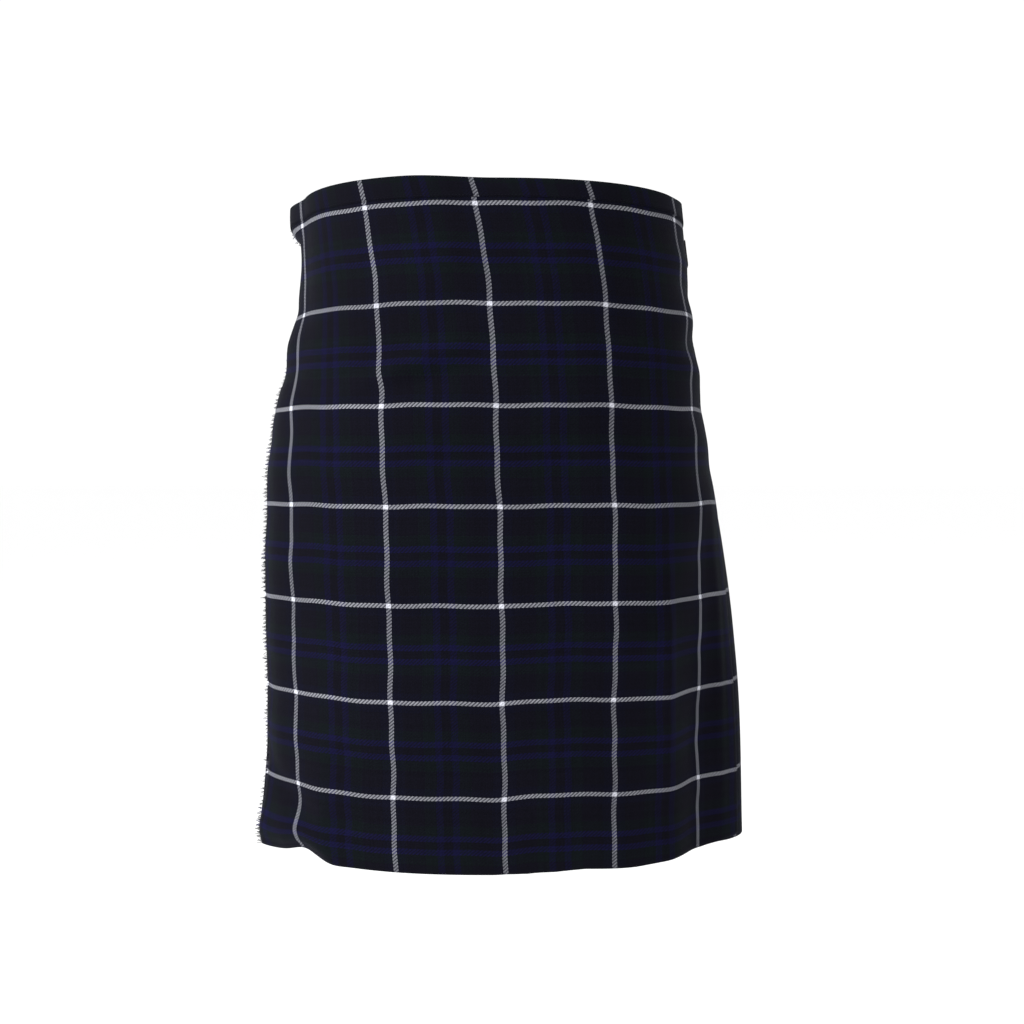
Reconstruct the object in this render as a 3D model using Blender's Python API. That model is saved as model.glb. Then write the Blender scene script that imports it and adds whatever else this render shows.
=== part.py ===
"""A tartan kilt, filled out as it is worn, in metres with +Z up.

The origin is the middle of the waist, level with the straps. The wearer faces -Y.
Every piece of cloth is a wall on one ring. A place on the ring is (s, r, z): s runs round
it from the centre front towards the wearer's left (+X), r stands out from it, and z is the
height. The cloth goes once round and then laps: from the fringed edge on the wearer's right
across the front, round the pleated back, and on across the front again, underneath.
"""

from collections import namedtuple

import bpy
import numpy as np

# --- driving sizes -------------------------------------------------------------------------
TOP = 0.030             # top edge of the waistband
HEM = -0.580            # hem, for a drop of 610 mm
BAND_FOOT = 0.011       # lower edge of the waistband
APRON_EDGE = 0.252      # from the apron's centre line to either edge, round the ring
PLEATS = 22
CLOTH = 0.0012          # thickness of the kilt cloth
BAND_CLOTH = 0.0008     # thickness of the waistband
LEATHER = 0.0020
GAP = 0.0003            # between pieces that touch
DEEP_TUCK = 0.045       # how far the apron's own fold is turned under
LAP = 0.012             # how far the last pleat goes under the fringed edge
LIFT = 0.0034           # how far the over apron stands off there, over the last pleats
WAIST_LIFT = 0.0038     # how much more near the waist, over the band and the strap
CORNER_FLARE = 0.010    # how far its upper corner flares out
FRINGE_REACH = 0.008
STRAP_WIDTH = 0.026
STRAP_HEIGHT = -0.013   # the straps' centre line
TAB_LENGTH = 0.036
BUCKLE_LENGTH = 0.028
BUCKLE_WIRE = 0.0024
BUCKLE_CORNER = 0.004
TONGUE_WIRE = 0.0018
SQUARENESS = 2.4        # 2 is an ellipse, and more is squarer

# The body of the ring at each height: how far it reaches to each side, where the whole ring
# is set back, and how far the cloth's centre line leans towards +X.
Section = namedtuple("Section", "z left right front back set_back lean")
SECTIONS = (
    Section(0.030, 0.180, 0.181, 0.135, 0.125, -0.002, -0.016),
    Section(-0.080, 0.181, 0.191, 0.140, 0.140, -0.010, 0.000),
    Section(-0.180, 0.208, 0.205, 0.152, 0.160, -0.002, 0.005),
    Section(-0.300, 0.221, 0.226, 0.158, 0.166, 0.010, 0.009),
    Section(-0.440, 0.224, 0.243, 0.161, 0.170, 0.023, 0.011),
    Section(-0.580, 0.228, 0.250, 0.158, 0.176, 0.030, 0.013),
)

# The largest folds: where on the apron, half its width, how far it stands out, and the
# heights between which it grows from nothing to full.
Fold = namedtuple("Fold", "at half_width depth none_at full_at")
FOLDS = (
    Fold(0.200, 0.052, -0.014, -0.220, -0.440),
    Fold(0.262, 0.030, 0.004, -0.300, -0.560),
    Fold(-0.262, 0.040, 0.008, -0.480, -0.580),
    Fold(-0.170, 0.035, 0.003, -0.440, -0.540),
)

ROWS = (TOP, BAND_FOOT, -0.070, -0.180, -0.300, -0.440, HEM)
RING_STEPS = 1440
APRON_POINTS = 33
UNDER_POINTS = 27


# --- the ring ------------------------------------------------------------------------------
def smooth_step(x):
    """0 below 0, 1 above 1, and an even S between them."""
    x = np.clip(x, 0.0, 1.0)
    return x * x * (3.0 - 2.0 * x)


def section_at(z):
    """The ring's sizes at a height: a smooth curve through the table, column by column."""
    table = np.array(SECTIONS)[::-1]
    heights = table[:, 0]
    slopes = np.gradient(table, heights, axis=0)
    z = float(np.clip(z, heights[0], heights[-1]))
    i = int(np.clip(np.searchsorted(heights, z) - 1, 0, len(heights) - 2))
    step = heights[i + 1] - heights[i]
    f = (z - heights[i]) / step
    start = (1 + 2 * f) * (1 - f) ** 2
    end = f * f * (3 - 2 * f)
    out = f * (1 - f) ** 2 * step
    back = f * f * (f - 1) * step
    row = start * table[i] + end * table[i + 1] + out * slopes[i] + back * slopes[i + 1]
    return Section(*row)


def ring(z):
    """The ring at a height, as (x, y, distance round it from the centre front, its length)."""
    size = section_at(z)
    turn = np.linspace(-np.pi, np.pi, RING_STEPS + 1)
    side = np.where(turn < 0, size.left, size.right)
    depth = np.where(np.cos(turn) > 0, size.front, size.back)
    reach = np.abs(np.sin(turn) / side) ** SQUARENESS
    reach = reach + np.abs(np.cos(turn) / depth) ** SQUARENESS
    reach = reach ** (-1.0 / SQUARENESS)
    x = reach * np.sin(turn)
    y = -reach * np.cos(turn) + size.set_back
    s = np.concatenate([[0.0], np.cumsum(np.hypot(np.diff(x), np.diff(y)))])
    length = s[-1]
    return x, y, s - s[RING_STEPS // 2], length


def fold_height(u, z):
    """How far the largest folds move the cloth out, u being measured from the centre line."""
    out = np.zeros_like(u)
    for fold in FOLDS:
        grown = smooth_step((z - fold.none_at) / (fold.full_at - fold.none_at))
        across = np.clip(np.abs(u - fold.at) / fold.half_width, 0.0, 1.0)
        out += fold.depth * grown * (0.5 + 0.5 * np.cos(np.pi * across))
    return out


def at(s, r, z):
    """Points in space for places (s, r) on the ring at height z."""
    x, y, distance, length = ring(z)
    lean = section_at(z).lean
    s = np.asarray(s, float)
    around = np.mod(s - distance[0], length) + distance[0]
    slope_x = np.gradient(x, distance)
    slope_y = np.gradient(y, distance)
    normal_x = np.interp(around, distance, slope_y)
    normal_y = -np.interp(around, distance, slope_x)
    size = np.hypot(normal_x, normal_y)
    out = r + fold_height(around - lean, z)
    px = np.interp(around, distance, x) + out * normal_x / size
    py = np.interp(around, distance, y) + out * normal_y / size
    return np.column_stack([px, py, np.full(len(s), z)])


# --- making solids -------------------------------------------------------------------------
def material(name, colour, roughness, metallic=0.0):
    made = bpy.data.materials.new(name)
    made.use_nodes = True
    shader = made.node_tree.nodes["Principled BSDF"]
    shader.inputs["Base Color"].default_value = (*colour, 1.0)
    shader.inputs["Roughness"].default_value = roughness
    shader.inputs["Metallic"].default_value = metallic
    return made


def add_object(name, points, faces, finish):
    """A closed mesh as an object, turned so that its faces point out."""
    points = np.asarray(points, float)
    faces = np.asarray(faces, int)
    corners = points[faces]
    volume = np.einsum("ij,ij->i", corners[:, 0], np.cross(corners[:, 1], corners[:, 2])).sum()
    if volume < 0:
        faces = faces[:, ::-1]
    mesh = bpy.data.meshes.new(name)
    mesh.from_pydata(points.tolist(), [], faces.tolist())
    mesh.materials.append(finish)
    mesh.shade_smooth()
    mesh.set_sharp_from_angle(angle=np.radians(35))
    made = bpy.data.objects.new(name, mesh)
    bpy.context.scene.collection.objects.link(made)
    return made


def two_sides(path, thickness):
    """A path of (s, r) points moved half a thickness to each side, with mitred corners."""
    path = np.asarray(path, float)
    along = np.diff(path, axis=0)
    along /= np.linalg.norm(along, axis=1)[:, None]
    left = np.column_stack([-along[:, 1], along[:, 0]])
    before = np.vstack([left[:1], left])
    after = np.vstack([left, left[-1:]])
    mitre = before + after
    mitre /= np.linalg.norm(mitre, axis=1)[:, None]
    reach = thickness / 2 / np.einsum("ij,ij->i", mitre, after)
    return path + mitre * reach[:, None], path - mitre * reach[:, None]


def wall(name, rows, path_at, thickness, finish):
    """A wall of cloth: path_at(z) gives its middle line at each row as (s, r) points.

    The two sides of every row make one loop of points, the loops are joined from row to row,
    and the first and last rows are closed with a strip between the sides. All the diagonals
    run the same way round the ring, so that layers that lie on each other never cross.
    """
    loops = []
    for z in rows:
        outer, inner = two_sides(path_at(z), thickness)
        loops.append(np.vstack([outer, inner[::-1]]))
    count = len(loops[0])
    half = count // 2
    points = np.vstack([at(loop[:, 0], loop[:, 1], z) for loop, z in zip(loops, rows)])
    step = np.roll(loops[0][:, 0], -1) - loops[0][:, 0]
    i = np.arange(count)
    j = np.roll(i, -1)
    forward = (step > 0)[:, None]
    faces = []
    for row in range(len(rows) - 1):
        a = row * count + i
        b = row * count + j
        c = a + count
        d = b + count
        faces.append(np.where(forward, np.column_stack([a, b, d]), np.column_stack([a, b, c])))
        faces.append(np.where(forward, np.column_stack([a, d, c]), np.column_stack([b, d, c])))
    k = np.arange(half - 1)
    far = count - 1 - k
    first = np.vstack([np.column_stack([k, far, k + 1]), np.column_stack([k + 1, far, far - 1])])
    last = first[:, ::-1] + (len(rows) - 1) * count
    return add_object(name, points, np.vstack([*faces, first, last]), finish)


# --- where the pleats and laps lie -----------------------------------------------------------
def layer(z):
    """From one folded layer to the next: tight where stitched down, looser towards the hem."""
    return CLOTH + 0.0004 + 0.0008 * smooth_step((-0.20 - z) / 0.38)


def right_fold(z):
    """Where the over apron ends in a fold on the wearer's left."""
    return section_at(z).lean + APRON_EDGE


def fringed_edge(z):
    """Where the over apron ends in a fringe on the wearer's right."""
    return section_at(z).lean - APRON_EDGE


def last_fold(z):
    """The last pleat's fold, which goes under the over apron's fringed edge."""
    return fringed_edge(z) + ring(z)[3] + LAP


def pleat_edge(k, z):
    """Where the k-th fold lies; the over apron's own fold is number 0."""
    first = right_fold(z)
    return first + (last_fold(z) - first) * k / PLEATS


def pleat_width(z):
    return (last_fold(z) - right_fold(z)) / PLEATS


def apron_lift(s, z):
    """The over apron rises over the last pleats, the waistband and the strap's end, and its
    upper corner flares out a little further."""
    past_centre = section_at(z).lean - s
    toward_edge = smooth_step((past_centre - 0.185) / 0.045)
    near_waist = smooth_step((z + 0.120) / 0.100)
    corner = smooth_step((past_centre - 0.190) / 0.060) * smooth_step((z + 0.045) / 0.050)
    return toward_edge * (LIFT + WAIST_LIFT * near_waist) + CORNER_FLARE * corner


def under_depth(s, z):
    """How far the under apron lies inside the over apron, more where it passes the tucks."""
    shallow = 2 * layer(z) + 2 * BAND_CLOTH
    deep = 4 * layer(z) + 2 * CLOTH + 2 * BAND_CLOTH + 6 * GAP
    near_tucks = smooth_step((s - right_fold(z) + 2 * DEEP_TUCK + 0.010) / DEEP_TUCK)
    return shallow + (deep - shallow) * near_tucks


# --- the cloth -------------------------------------------------------------------------------
def apron_places(z):
    return np.linspace(fringed_edge(z), right_fold(z), APRON_POINTS)


def under_places(z):
    """The under apron's places round the ring, once it is clear of the last pleat."""
    start = last_fold(z) - ring(z)[3] + 0.6 * pleat_width(z)
    return np.linspace(start, right_fold(z) - LAP, UNDER_POINTS)


def over_apron(z):
    """Across the front from the fringed edge, then turned under at the fold."""
    s = apron_places(z)
    back = np.linspace(right_fold(z), right_fold(z) - DEEP_TUCK, 4)
    outer = np.column_stack([s, apron_lift(s, z)])
    under = np.column_stack([back, np.full(4, -layer(z))])
    return np.vstack([outer, under])


def fringe(z):
    """A plain strip of the fringe's reach, past the over apron's edge."""
    edge = fringed_edge(z) - GAP
    s = np.array([edge - FRINGE_REACH, edge - FRINGE_REACH / 2, edge])
    return np.column_stack([s, np.full(3, apron_lift(fringed_edge(z), z))])


def pleats(first, last):
    """The middle line of a run of knife pleats, from fold number first + 1 to last.

    Each pleat starts one width back, under the fold before it. It rises by two layers in a
    width to its own fold, turns under, and goes back one width below itself.
    """

    def path(z):
        width = pleat_width(z)
        rise = layer(z)
        points = []
        for k in range(first, last):
            edge = pleat_edge(k, z)
            for part in (-1.0, -0.5, 0.0, 0.5, 1.0):
                points.append((edge + part * width, -2 * rise * (1 - part)))
            for part in (1.0, 0.5, 0.0):
                points.append((edge + part * width, -rise - 2 * rise * (1 - part)))
        return np.array(points)

    return path


def under_apron(z):
    """From under the last pleat, on across the front beneath the over apron."""
    edge = last_fold(z) - ring(z)[3]
    width = pleat_width(z)
    rise = layer(z)
    start = [(edge + part * width, -2 * rise * (1 - part)) for part in (-1.0, -0.5, 0.0)]
    s = under_places(z)
    return np.vstack([start, np.column_stack([s, -under_depth(s, z)])])


# --- the waistband -----------------------------------------------------------------------------
def band(name, places_at, outer_at, inner_at, finish):
    """A strip folded over the top edge: outside leg, top and inside leg, as one wall.

    places_at gives the places round the ring, which are the panel's own. outer_at and
    inner_at give the middle lines of the two legs, and the top joins them.
    """
    steps = len(places_at(TOP))
    half = BAND_CLOTH / 2
    top = TOP + GAP
    profile = (
        ("outer", half, BAND_FOOT),
        ("outer", half, top + BAND_CLOTH),
        ("inner", -half, top + BAND_CLOTH),
        ("inner", -half, BAND_FOOT),
        ("inner", half, BAND_FOOT),
        ("inner", half, top),
        ("outer", -half, top),
        ("outer", -half, BAND_FOOT),
    )
    rings = []
    for leg, out, z in profile:
        s = places_at(z)
        r = (outer_at if leg == "outer" else inner_at)(s, z)
        rings.append(at(s, r + out, z))
    points = np.vstack(rings)
    faces = []
    i = np.arange(steps - 1)
    for low in range(8):
        a = low * steps + i
        b = (low + 1) % 8 * steps + i
        upward = low in (0, 4)
        faces.append(np.column_stack([a, b, a + 1 if upward else b + 1]))
        faces.append(np.column_stack([b if upward else a, b + 1, a + 1]))
    for end_index in (0, steps - 1):
        corner = np.arange(8) * steps + end_index
        cap = [corner[[0, 1, 6]], corner[[0, 6, 7]], corner[[1, 2, 5]]]
        cap += [corner[[1, 5, 6]], corner[[2, 3, 4]], corner[[2, 4, 5]]]
        cap = np.array(cap)
        faces.append(cap[:, ::-1] if end_index == 0 else cap)
    faces = np.vstack(faces)
    return add_object(name, points, faces[:, ::-1], finish)


BAND_OUT = CLOTH / 2 + GAP + BAND_CLOTH / 2


def band_front_outer(s, z):
    return apron_lift(s, z) + BAND_OUT


def band_front_inner(s, z):
    tucks = smooth_step((s - right_fold(z) + DEEP_TUCK + 0.018) / 0.014)
    return apron_lift(s, z) - BAND_OUT - 4 * layer(z) * tucks


def band_back_outer(s, z):
    return np.full(len(s), BAND_OUT)


def band_back_inner(s, z):
    return np.full(len(s), -BAND_OUT - 4 * layer(z))


def band_under_outer(s, z):
    return -under_depth(s, z) + BAND_OUT


def band_under_inner(s, z):
    return -under_depth(s, z) - BAND_OUT


def front_places(z):
    s = apron_places(z)
    s[-1] += CLOTH / 2
    return s


def back_places(z):
    s = pleat_edge(np.arange(2 * PLEATS + 1) / 2, z)
    s[0] += CLOTH / 2 + GAP
    s[-1] += CLOTH / 2
    return s


# --- straps and buckles ----------------------------------------------------------------------
# Each side: where the strap starts, where the buckle's near bar lies, the tip, and which way.
Side = namedtuple("Side", "start bar tip way")
left_start = right_fold(STRAP_HEIGHT) + CLOTH / 2 + 5 * GAP
right_start = fringed_edge(STRAP_HEIGHT) + 0.010
SIDES = {
    "left": Side(left_start, left_start + 0.040, left_start + 0.122, 1.0),
    "right": Side(right_start, right_start - 0.060, right_start - 0.142, -1.0),
}

# The middle of a strap or wire above the cloth's own middle: flat on the cloth, the frame's
# bar that goes under the strap, the bar that lies on it, and the strap where it goes over.
UNDER_LEATHER = 6 * GAP
ON_CLOTH = CLOTH / 2 + UNDER_LEATHER + LEATHER / 2
FAR_BAR = CLOTH / 2 + UNDER_LEATHER + BUCKLE_WIRE / 2
NEAR_BAR = ON_CLOTH + LEATHER / 2 + 4 * GAP + BUCKLE_WIRE / 2
OVER_BAR = FAR_BAR + BUCKLE_WIRE / 2 + 3 * GAP + LEATHER / 2


def strap(name, side, finish):
    """A strap from beneath the apron's edge to its tip, rising over the buckle's bar and tab."""
    low = side.start + (side.bar - side.start) * np.array([0.0, 0.35, 0.7, 1.0])
    over = side.bar + side.way * BUCKLE_LENGTH * np.array([0.43, 0.86])
    far = over[-1] + (side.tip - over[-1]) * np.array([0.33, 0.66, 1.0])
    s = np.concatenate([low, over, far])
    r = np.array([ON_CLOTH] * 4 + [(ON_CLOTH + OVER_BAR) / 2] + [OVER_BAR] * 4)
    half = STRAP_WIDTH / 2
    heights = (STRAP_HEIGHT + half, STRAP_HEIGHT, STRAP_HEIGHT - half)
    line = np.column_stack([s, r])
    if side.way < 0:
        line = line[::-1]
    return wall(name, heights, lambda z: line, LEATHER, finish)


def tab(name, side, finish):
    """The short leather tab that holds the buckle's far bar, sewn flat on the pleats."""
    near = side.bar + side.way * (BUCKLE_LENGTH + 2 * BUCKLE_WIRE)
    s = np.linspace(near, near + side.way * TAB_LENGTH, 4)
    line = np.column_stack([s, np.full(4, ON_CLOTH)])
    if side.way < 0:
        line = line[::-1]
    half = STRAP_WIDTH / 2
    heights = (STRAP_HEIGHT + half, STRAP_HEIGHT - half)
    return wall(name, heights, lambda z: line, LEATHER, finish)


def tube(name, centres, closed, radius, finish, sides=8):
    """A round wire through the centres, in an endless loop or with flat ends."""
    curve = bpy.data.curves.new(name, "CURVE")
    curve.dimensions = "3D"
    curve.bevel_depth = radius
    curve.bevel_resolution = sides // 4
    curve.use_fill_caps = not closed
    spline = curve.splines.new("POLY")
    spline.points.add(len(centres) - 1)
    spline.points.foreach_set("co", np.column_stack([centres, np.ones(len(centres))]).ravel())
    spline.use_cyclic_u = closed
    curve.materials.append(finish)
    made = bpy.data.objects.new(name, curve)
    bpy.context.scene.collection.objects.link(made)
    return made


def buckle(name, side, finish):
    """A rounded frame of wire: its near bar lies on the strap, its far bar under it."""
    bars = [side.bar, side.bar + side.way * BUCKLE_LENGTH]
    ends = at(bars, np.array([NEAR_BAR, FAR_BAR]), STRAP_HEIGHT)
    centre = ends.mean(axis=0)
    along = ends[1] - ends[0]
    half_long = np.linalg.norm(along) / 2
    along /= 2 * half_long
    half_wide = STRAP_WIDTH / 2 + BUCKLE_WIRE / 2 + 4 * GAP
    middle = [side.bar + side.way * BUCKLE_LENGTH / 2]
    up = at(middle, 0.0, STRAP_HEIGHT + half_wide) - at(middle, 0.0, STRAP_HEIGHT - half_wide)
    up = up[0] - up[0] @ along * along
    up /= np.linalg.norm(up)
    points = []
    for number, (way, rise) in enumerate(((1, 1), (-1, 1), (-1, -1), (1, -1))):
        angle = np.radians([0.0, 45.0, 90.0]) + number * np.pi / 2
        a = way * (half_long - BUCKLE_CORNER) + BUCKLE_CORNER * np.cos(angle)
        b = rise * (half_wide - BUCKLE_CORNER) + BUCKLE_CORNER * np.sin(angle)
        points.append(np.column_stack([a, b]))
    points = np.vstack(points)
    centres = centre + points[:, :1] * along + points[:, 1:] * up
    return tube(name, centres, True, BUCKLE_WIRE / 2, finish)


def buckle_tongue(name, side, finish):
    """The tongue: from the strap's hole to rest on the frame's near bar."""
    s = side.bar + side.way * np.array([0.0130, 0.0060, -0.0012])
    rest = NEAR_BAR + BUCKLE_WIRE / 2 + GAP + TONGUE_WIRE / 2
    r = rest - TONGUE_WIRE * np.array([1.0, 0.45, 0.0])
    return tube(name, at(s, r, STRAP_HEIGHT), False, TONGUE_WIRE / 2, finish)


# --- the kilt --------------------------------------------------------------------------------
for old in list(bpy.data.objects):
    bpy.data.objects.remove(old, do_unlink=True)

tartan = material("tartan_cloth", (0.010, 0.013, 0.030), 0.85)
tartan_band = material("waistband_cloth", (0.012, 0.014, 0.032), 0.85)
fringe_yarn = material("fringe_yarn", (0.030, 0.032, 0.050), 0.90)
leather = material("strap_leather", (0.012, 0.011, 0.011), 0.50)
metal = material("buckle_metal", (0.72, 0.72, 0.74), 0.25, 1.0)

wall("over_apron", ROWS, over_apron, CLOTH, tartan)
wall("over_apron_fringe", ROWS, fringe, 0.0010, fringe_yarn)
wall("pleats_left", ROWS, pleats(0, 7), CLOTH, tartan)
wall("pleats_centre", ROWS, pleats(7, 15), CLOTH, tartan)
wall("pleats_right", ROWS, pleats(15, PLEATS), CLOTH, tartan)
wall("under_apron", ROWS, under_apron, CLOTH, tartan)

band("waistband_front", front_places, band_front_outer, band_front_inner, tartan_band)
band("waistband_back", back_places, band_back_outer, band_back_inner, tartan_band)
band("waistband_under", under_places, band_under_outer, band_under_inner, tartan_band)

for word, side in SIDES.items():
    strap(f"strap_{word}", side, leather)
    tab(f"buckle_tab_{word}", side, leather)
    buckle(f"buckle_{word}", side, metal)
    buckle_tongue(f"buckle_tongue_{word}", side, metal)
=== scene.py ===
# %% [markdown]
# # A tartan kilt, filled out as it is worn
# A kilt is one long strip of woollen cloth. It goes flat across the front twice, which makes
# the under apron and the over apron, and it is folded into knife pleats round the back. A
# waistband is folded over the top edge, and leather straps with buckles hold it at the sides.
# The frame gives every piece its place and size. This file gives each piece its real surface:
# thin cloth with folds, a woven check made thread by thread, a fringe, leather and metal.

# %% Load the frame
from collections import namedtuple
from functools import partial

import bmesh
import bpy
import numpy as np
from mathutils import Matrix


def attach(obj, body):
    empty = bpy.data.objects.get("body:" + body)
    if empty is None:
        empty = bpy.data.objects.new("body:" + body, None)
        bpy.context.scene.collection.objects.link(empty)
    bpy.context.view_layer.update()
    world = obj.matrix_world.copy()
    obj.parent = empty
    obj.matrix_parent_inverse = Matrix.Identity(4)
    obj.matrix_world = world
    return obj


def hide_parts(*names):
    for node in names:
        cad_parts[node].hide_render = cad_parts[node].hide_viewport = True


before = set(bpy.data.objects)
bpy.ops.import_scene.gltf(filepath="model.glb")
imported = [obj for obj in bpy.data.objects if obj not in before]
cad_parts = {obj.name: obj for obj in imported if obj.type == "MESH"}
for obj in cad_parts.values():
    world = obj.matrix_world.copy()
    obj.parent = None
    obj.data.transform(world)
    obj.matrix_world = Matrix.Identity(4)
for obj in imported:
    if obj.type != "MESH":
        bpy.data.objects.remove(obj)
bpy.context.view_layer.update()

print("nodes in the frame:", len(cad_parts))

# %% [markdown]
# ## The body under the cloth
# Every piece of cloth follows one ring, which is the wearer's body at each height: narrow and
# a little squared at the waist, wider and set back at the hem. A table holds its sizes at six
# heights. A smooth curve through each column gives the heights between. The wearer faces -Y.

# %% Sizes that the whole kilt shares, in metres
TOP = 0.030             # top edge of the cloth
HEM = -0.580            # hem
BAND_FOOT = 0.011       # lower edge of the waistband
APRON_EDGE = 0.252      # from the apron's centre line to either edge
PLEATS = 22
CLOTH = 0.0012
BAND_CLOTH = 0.0008
DEEP_TUCK = 0.045       # how much of the apron's own fold is turned under
LAP = 0.012             # how far the last pleat goes under the fringed edge
LIFT = 0.0034           # how far the over apron stands off there, over the last pleats
WAIST_LIFT = 0.0038     # how much more near the waist, over the band and the strap
CORNER_FLARE = 0.010    # how far its upper corner flares out
SQUARENESS = 2.4        # 2 is an ellipse, and more is squarer
FELL = -0.180           # the pleats are stitched flat down to here, and hang free below

Section = namedtuple("Section", "z left right front back set_back lean")
SECTIONS = (
    Section(0.030, 0.180, 0.181, 0.135, 0.125, -0.002, -0.016),
    Section(-0.080, 0.181, 0.191, 0.140, 0.140, -0.010, 0.000),
    Section(-0.180, 0.208, 0.205, 0.152, 0.160, -0.002, 0.005),
    Section(-0.300, 0.221, 0.226, 0.158, 0.166, 0.010, 0.009),
    Section(-0.440, 0.224, 0.243, 0.161, 0.170, 0.023, 0.011),
    Section(-0.580, 0.228, 0.250, 0.158, 0.176, 0.030, 0.013),
)
print("drop of the cloth:", TOP - HEM)


# %% Sizes of the ring at many heights
def smooth_step(x):
    """0 below 0, 1 above 1, and 3x^2 - 2x^3 between them."""
    x = np.clip(x, 0.0, 1.0)
    return x * x * (3.0 - 2.0 * x)


def sizes_at(heights):
    """Every column of the table at the heights: a cubic between two rows, f being the share of
    the way, of (1+2f)(1-f)^2 first + f^2(3-2f) second + f(1-f)^2 slope + f^2(f-1) next slope."""
    table = np.array(SECTIONS)[::-1]
    knots = table[:, 0]
    slopes = np.gradient(table, knots, axis=0)
    i = np.clip(np.searchsorted(knots, heights) - 1, 0, len(knots) - 2)
    step = (knots[i + 1] - knots[i])[:, None]
    f = (heights[:, None] - knots[i][:, None]) / step
    from_values = (1 + 2 * f) * (1 - f) ** 2 * table[i] + f * f * (3 - 2 * f) * table[i + 1]
    from_slopes = f * (1 - f) ** 2 * slopes[i] + f * f * (f - 1) * slopes[i + 1]
    return from_values + step * from_slopes


HEIGHTS = np.linspace(HEM, TOP, 123)
SIZES = sizes_at(HEIGHTS)
print("heights:", len(HEIGHTS), "widest half:", round(float(SIZES[:, 1:3].max()), 4))


# %% The ring, measured round from the centre front
def ring_points(sizes, turns):
    """x = reach sin(turn) and y = -reach cos(turn) + set back, where reach is
    (|sin/side|^n + |cos/depth|^n)^(-1/n), n is the squareness, and turn is 0 at the front."""
    left, right, front, back, set_back = (sizes[:, i, None] for i in range(1, 6))
    side = np.where(turns < 0, left, right)
    depth = np.where(np.cos(turns) > 0, front, back)
    reach = np.abs(np.sin(turns) / side) ** SQUARENESS
    reach = reach + np.abs(np.cos(turns) / depth) ** SQUARENESS
    reach = reach ** (-1.0 / SQUARENESS)
    return reach * np.sin(turns), -reach * np.cos(turns) + set_back


TURNS = np.linspace(-np.pi, np.pi, 1441)[None, :]
RING_X, RING_Y = ring_points(SIZES, TURNS)
steps = np.hypot(np.diff(RING_X, axis=1), np.diff(RING_Y, axis=1))
ALONG = np.concatenate([np.zeros((len(HEIGHTS), 1)), np.cumsum(steps, axis=1)], axis=1)
LENGTH = ALONG[:, -1]
START = -ALONG[:, TURNS.size // 2]
OUT_X = np.gradient(RING_Y, axis=1) / np.gradient(ALONG, axis=1)
OUT_Y = -np.gradient(RING_X, axis=1) / np.gradient(ALONG, axis=1)
LEAN = SIZES[:, 6]
print("round the waist and the hem:", LENGTH[[-1, 0]].round(3))


# %% [markdown]
# ## Folds and creases
# Cloth that hangs from the waist is never quite smooth. The largest folds are in a short list,
# the same as the frame's. The creases are listed one by one, each with its own place, length,
# width, slope and height: soft ridges where the height is above nothing, soft troughs where
# it is below. They belong to the whole ring, so layers that lie on each other move together.

# %% The largest folds
Fold = namedtuple("Fold", "at half_width depth none_at full_at")
FOLDS = (
    Fold(0.200, 0.052, -0.014, -0.220, -0.440),
    Fold(0.262, 0.030, 0.004, -0.300, -0.560),
    Fold(-0.262, 0.040, 0.008, -0.480, -0.580),
    Fold(-0.170, 0.035, 0.003, -0.440, -0.540),
)


def fold_height(u, z):
    """The sum of depth * grown * (1 + cos(pi * across)) / 2, across being the share of the half
    width from the fold's line, and grown a smooth step between its two heights."""
    out = np.zeros(np.broadcast(u, z).shape)
    for fold in FOLDS:
        grown = smooth_step((z - fold.none_at) / (fold.full_at - fold.none_at))
        across = np.clip(np.abs(u - fold.at) / fold.half_width, 0.0, 1.0)
        out += fold.depth * grown * (0.5 + 0.5 * np.cos(np.pi * across))
    return out


print("large folds:", len(FOLDS))

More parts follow.
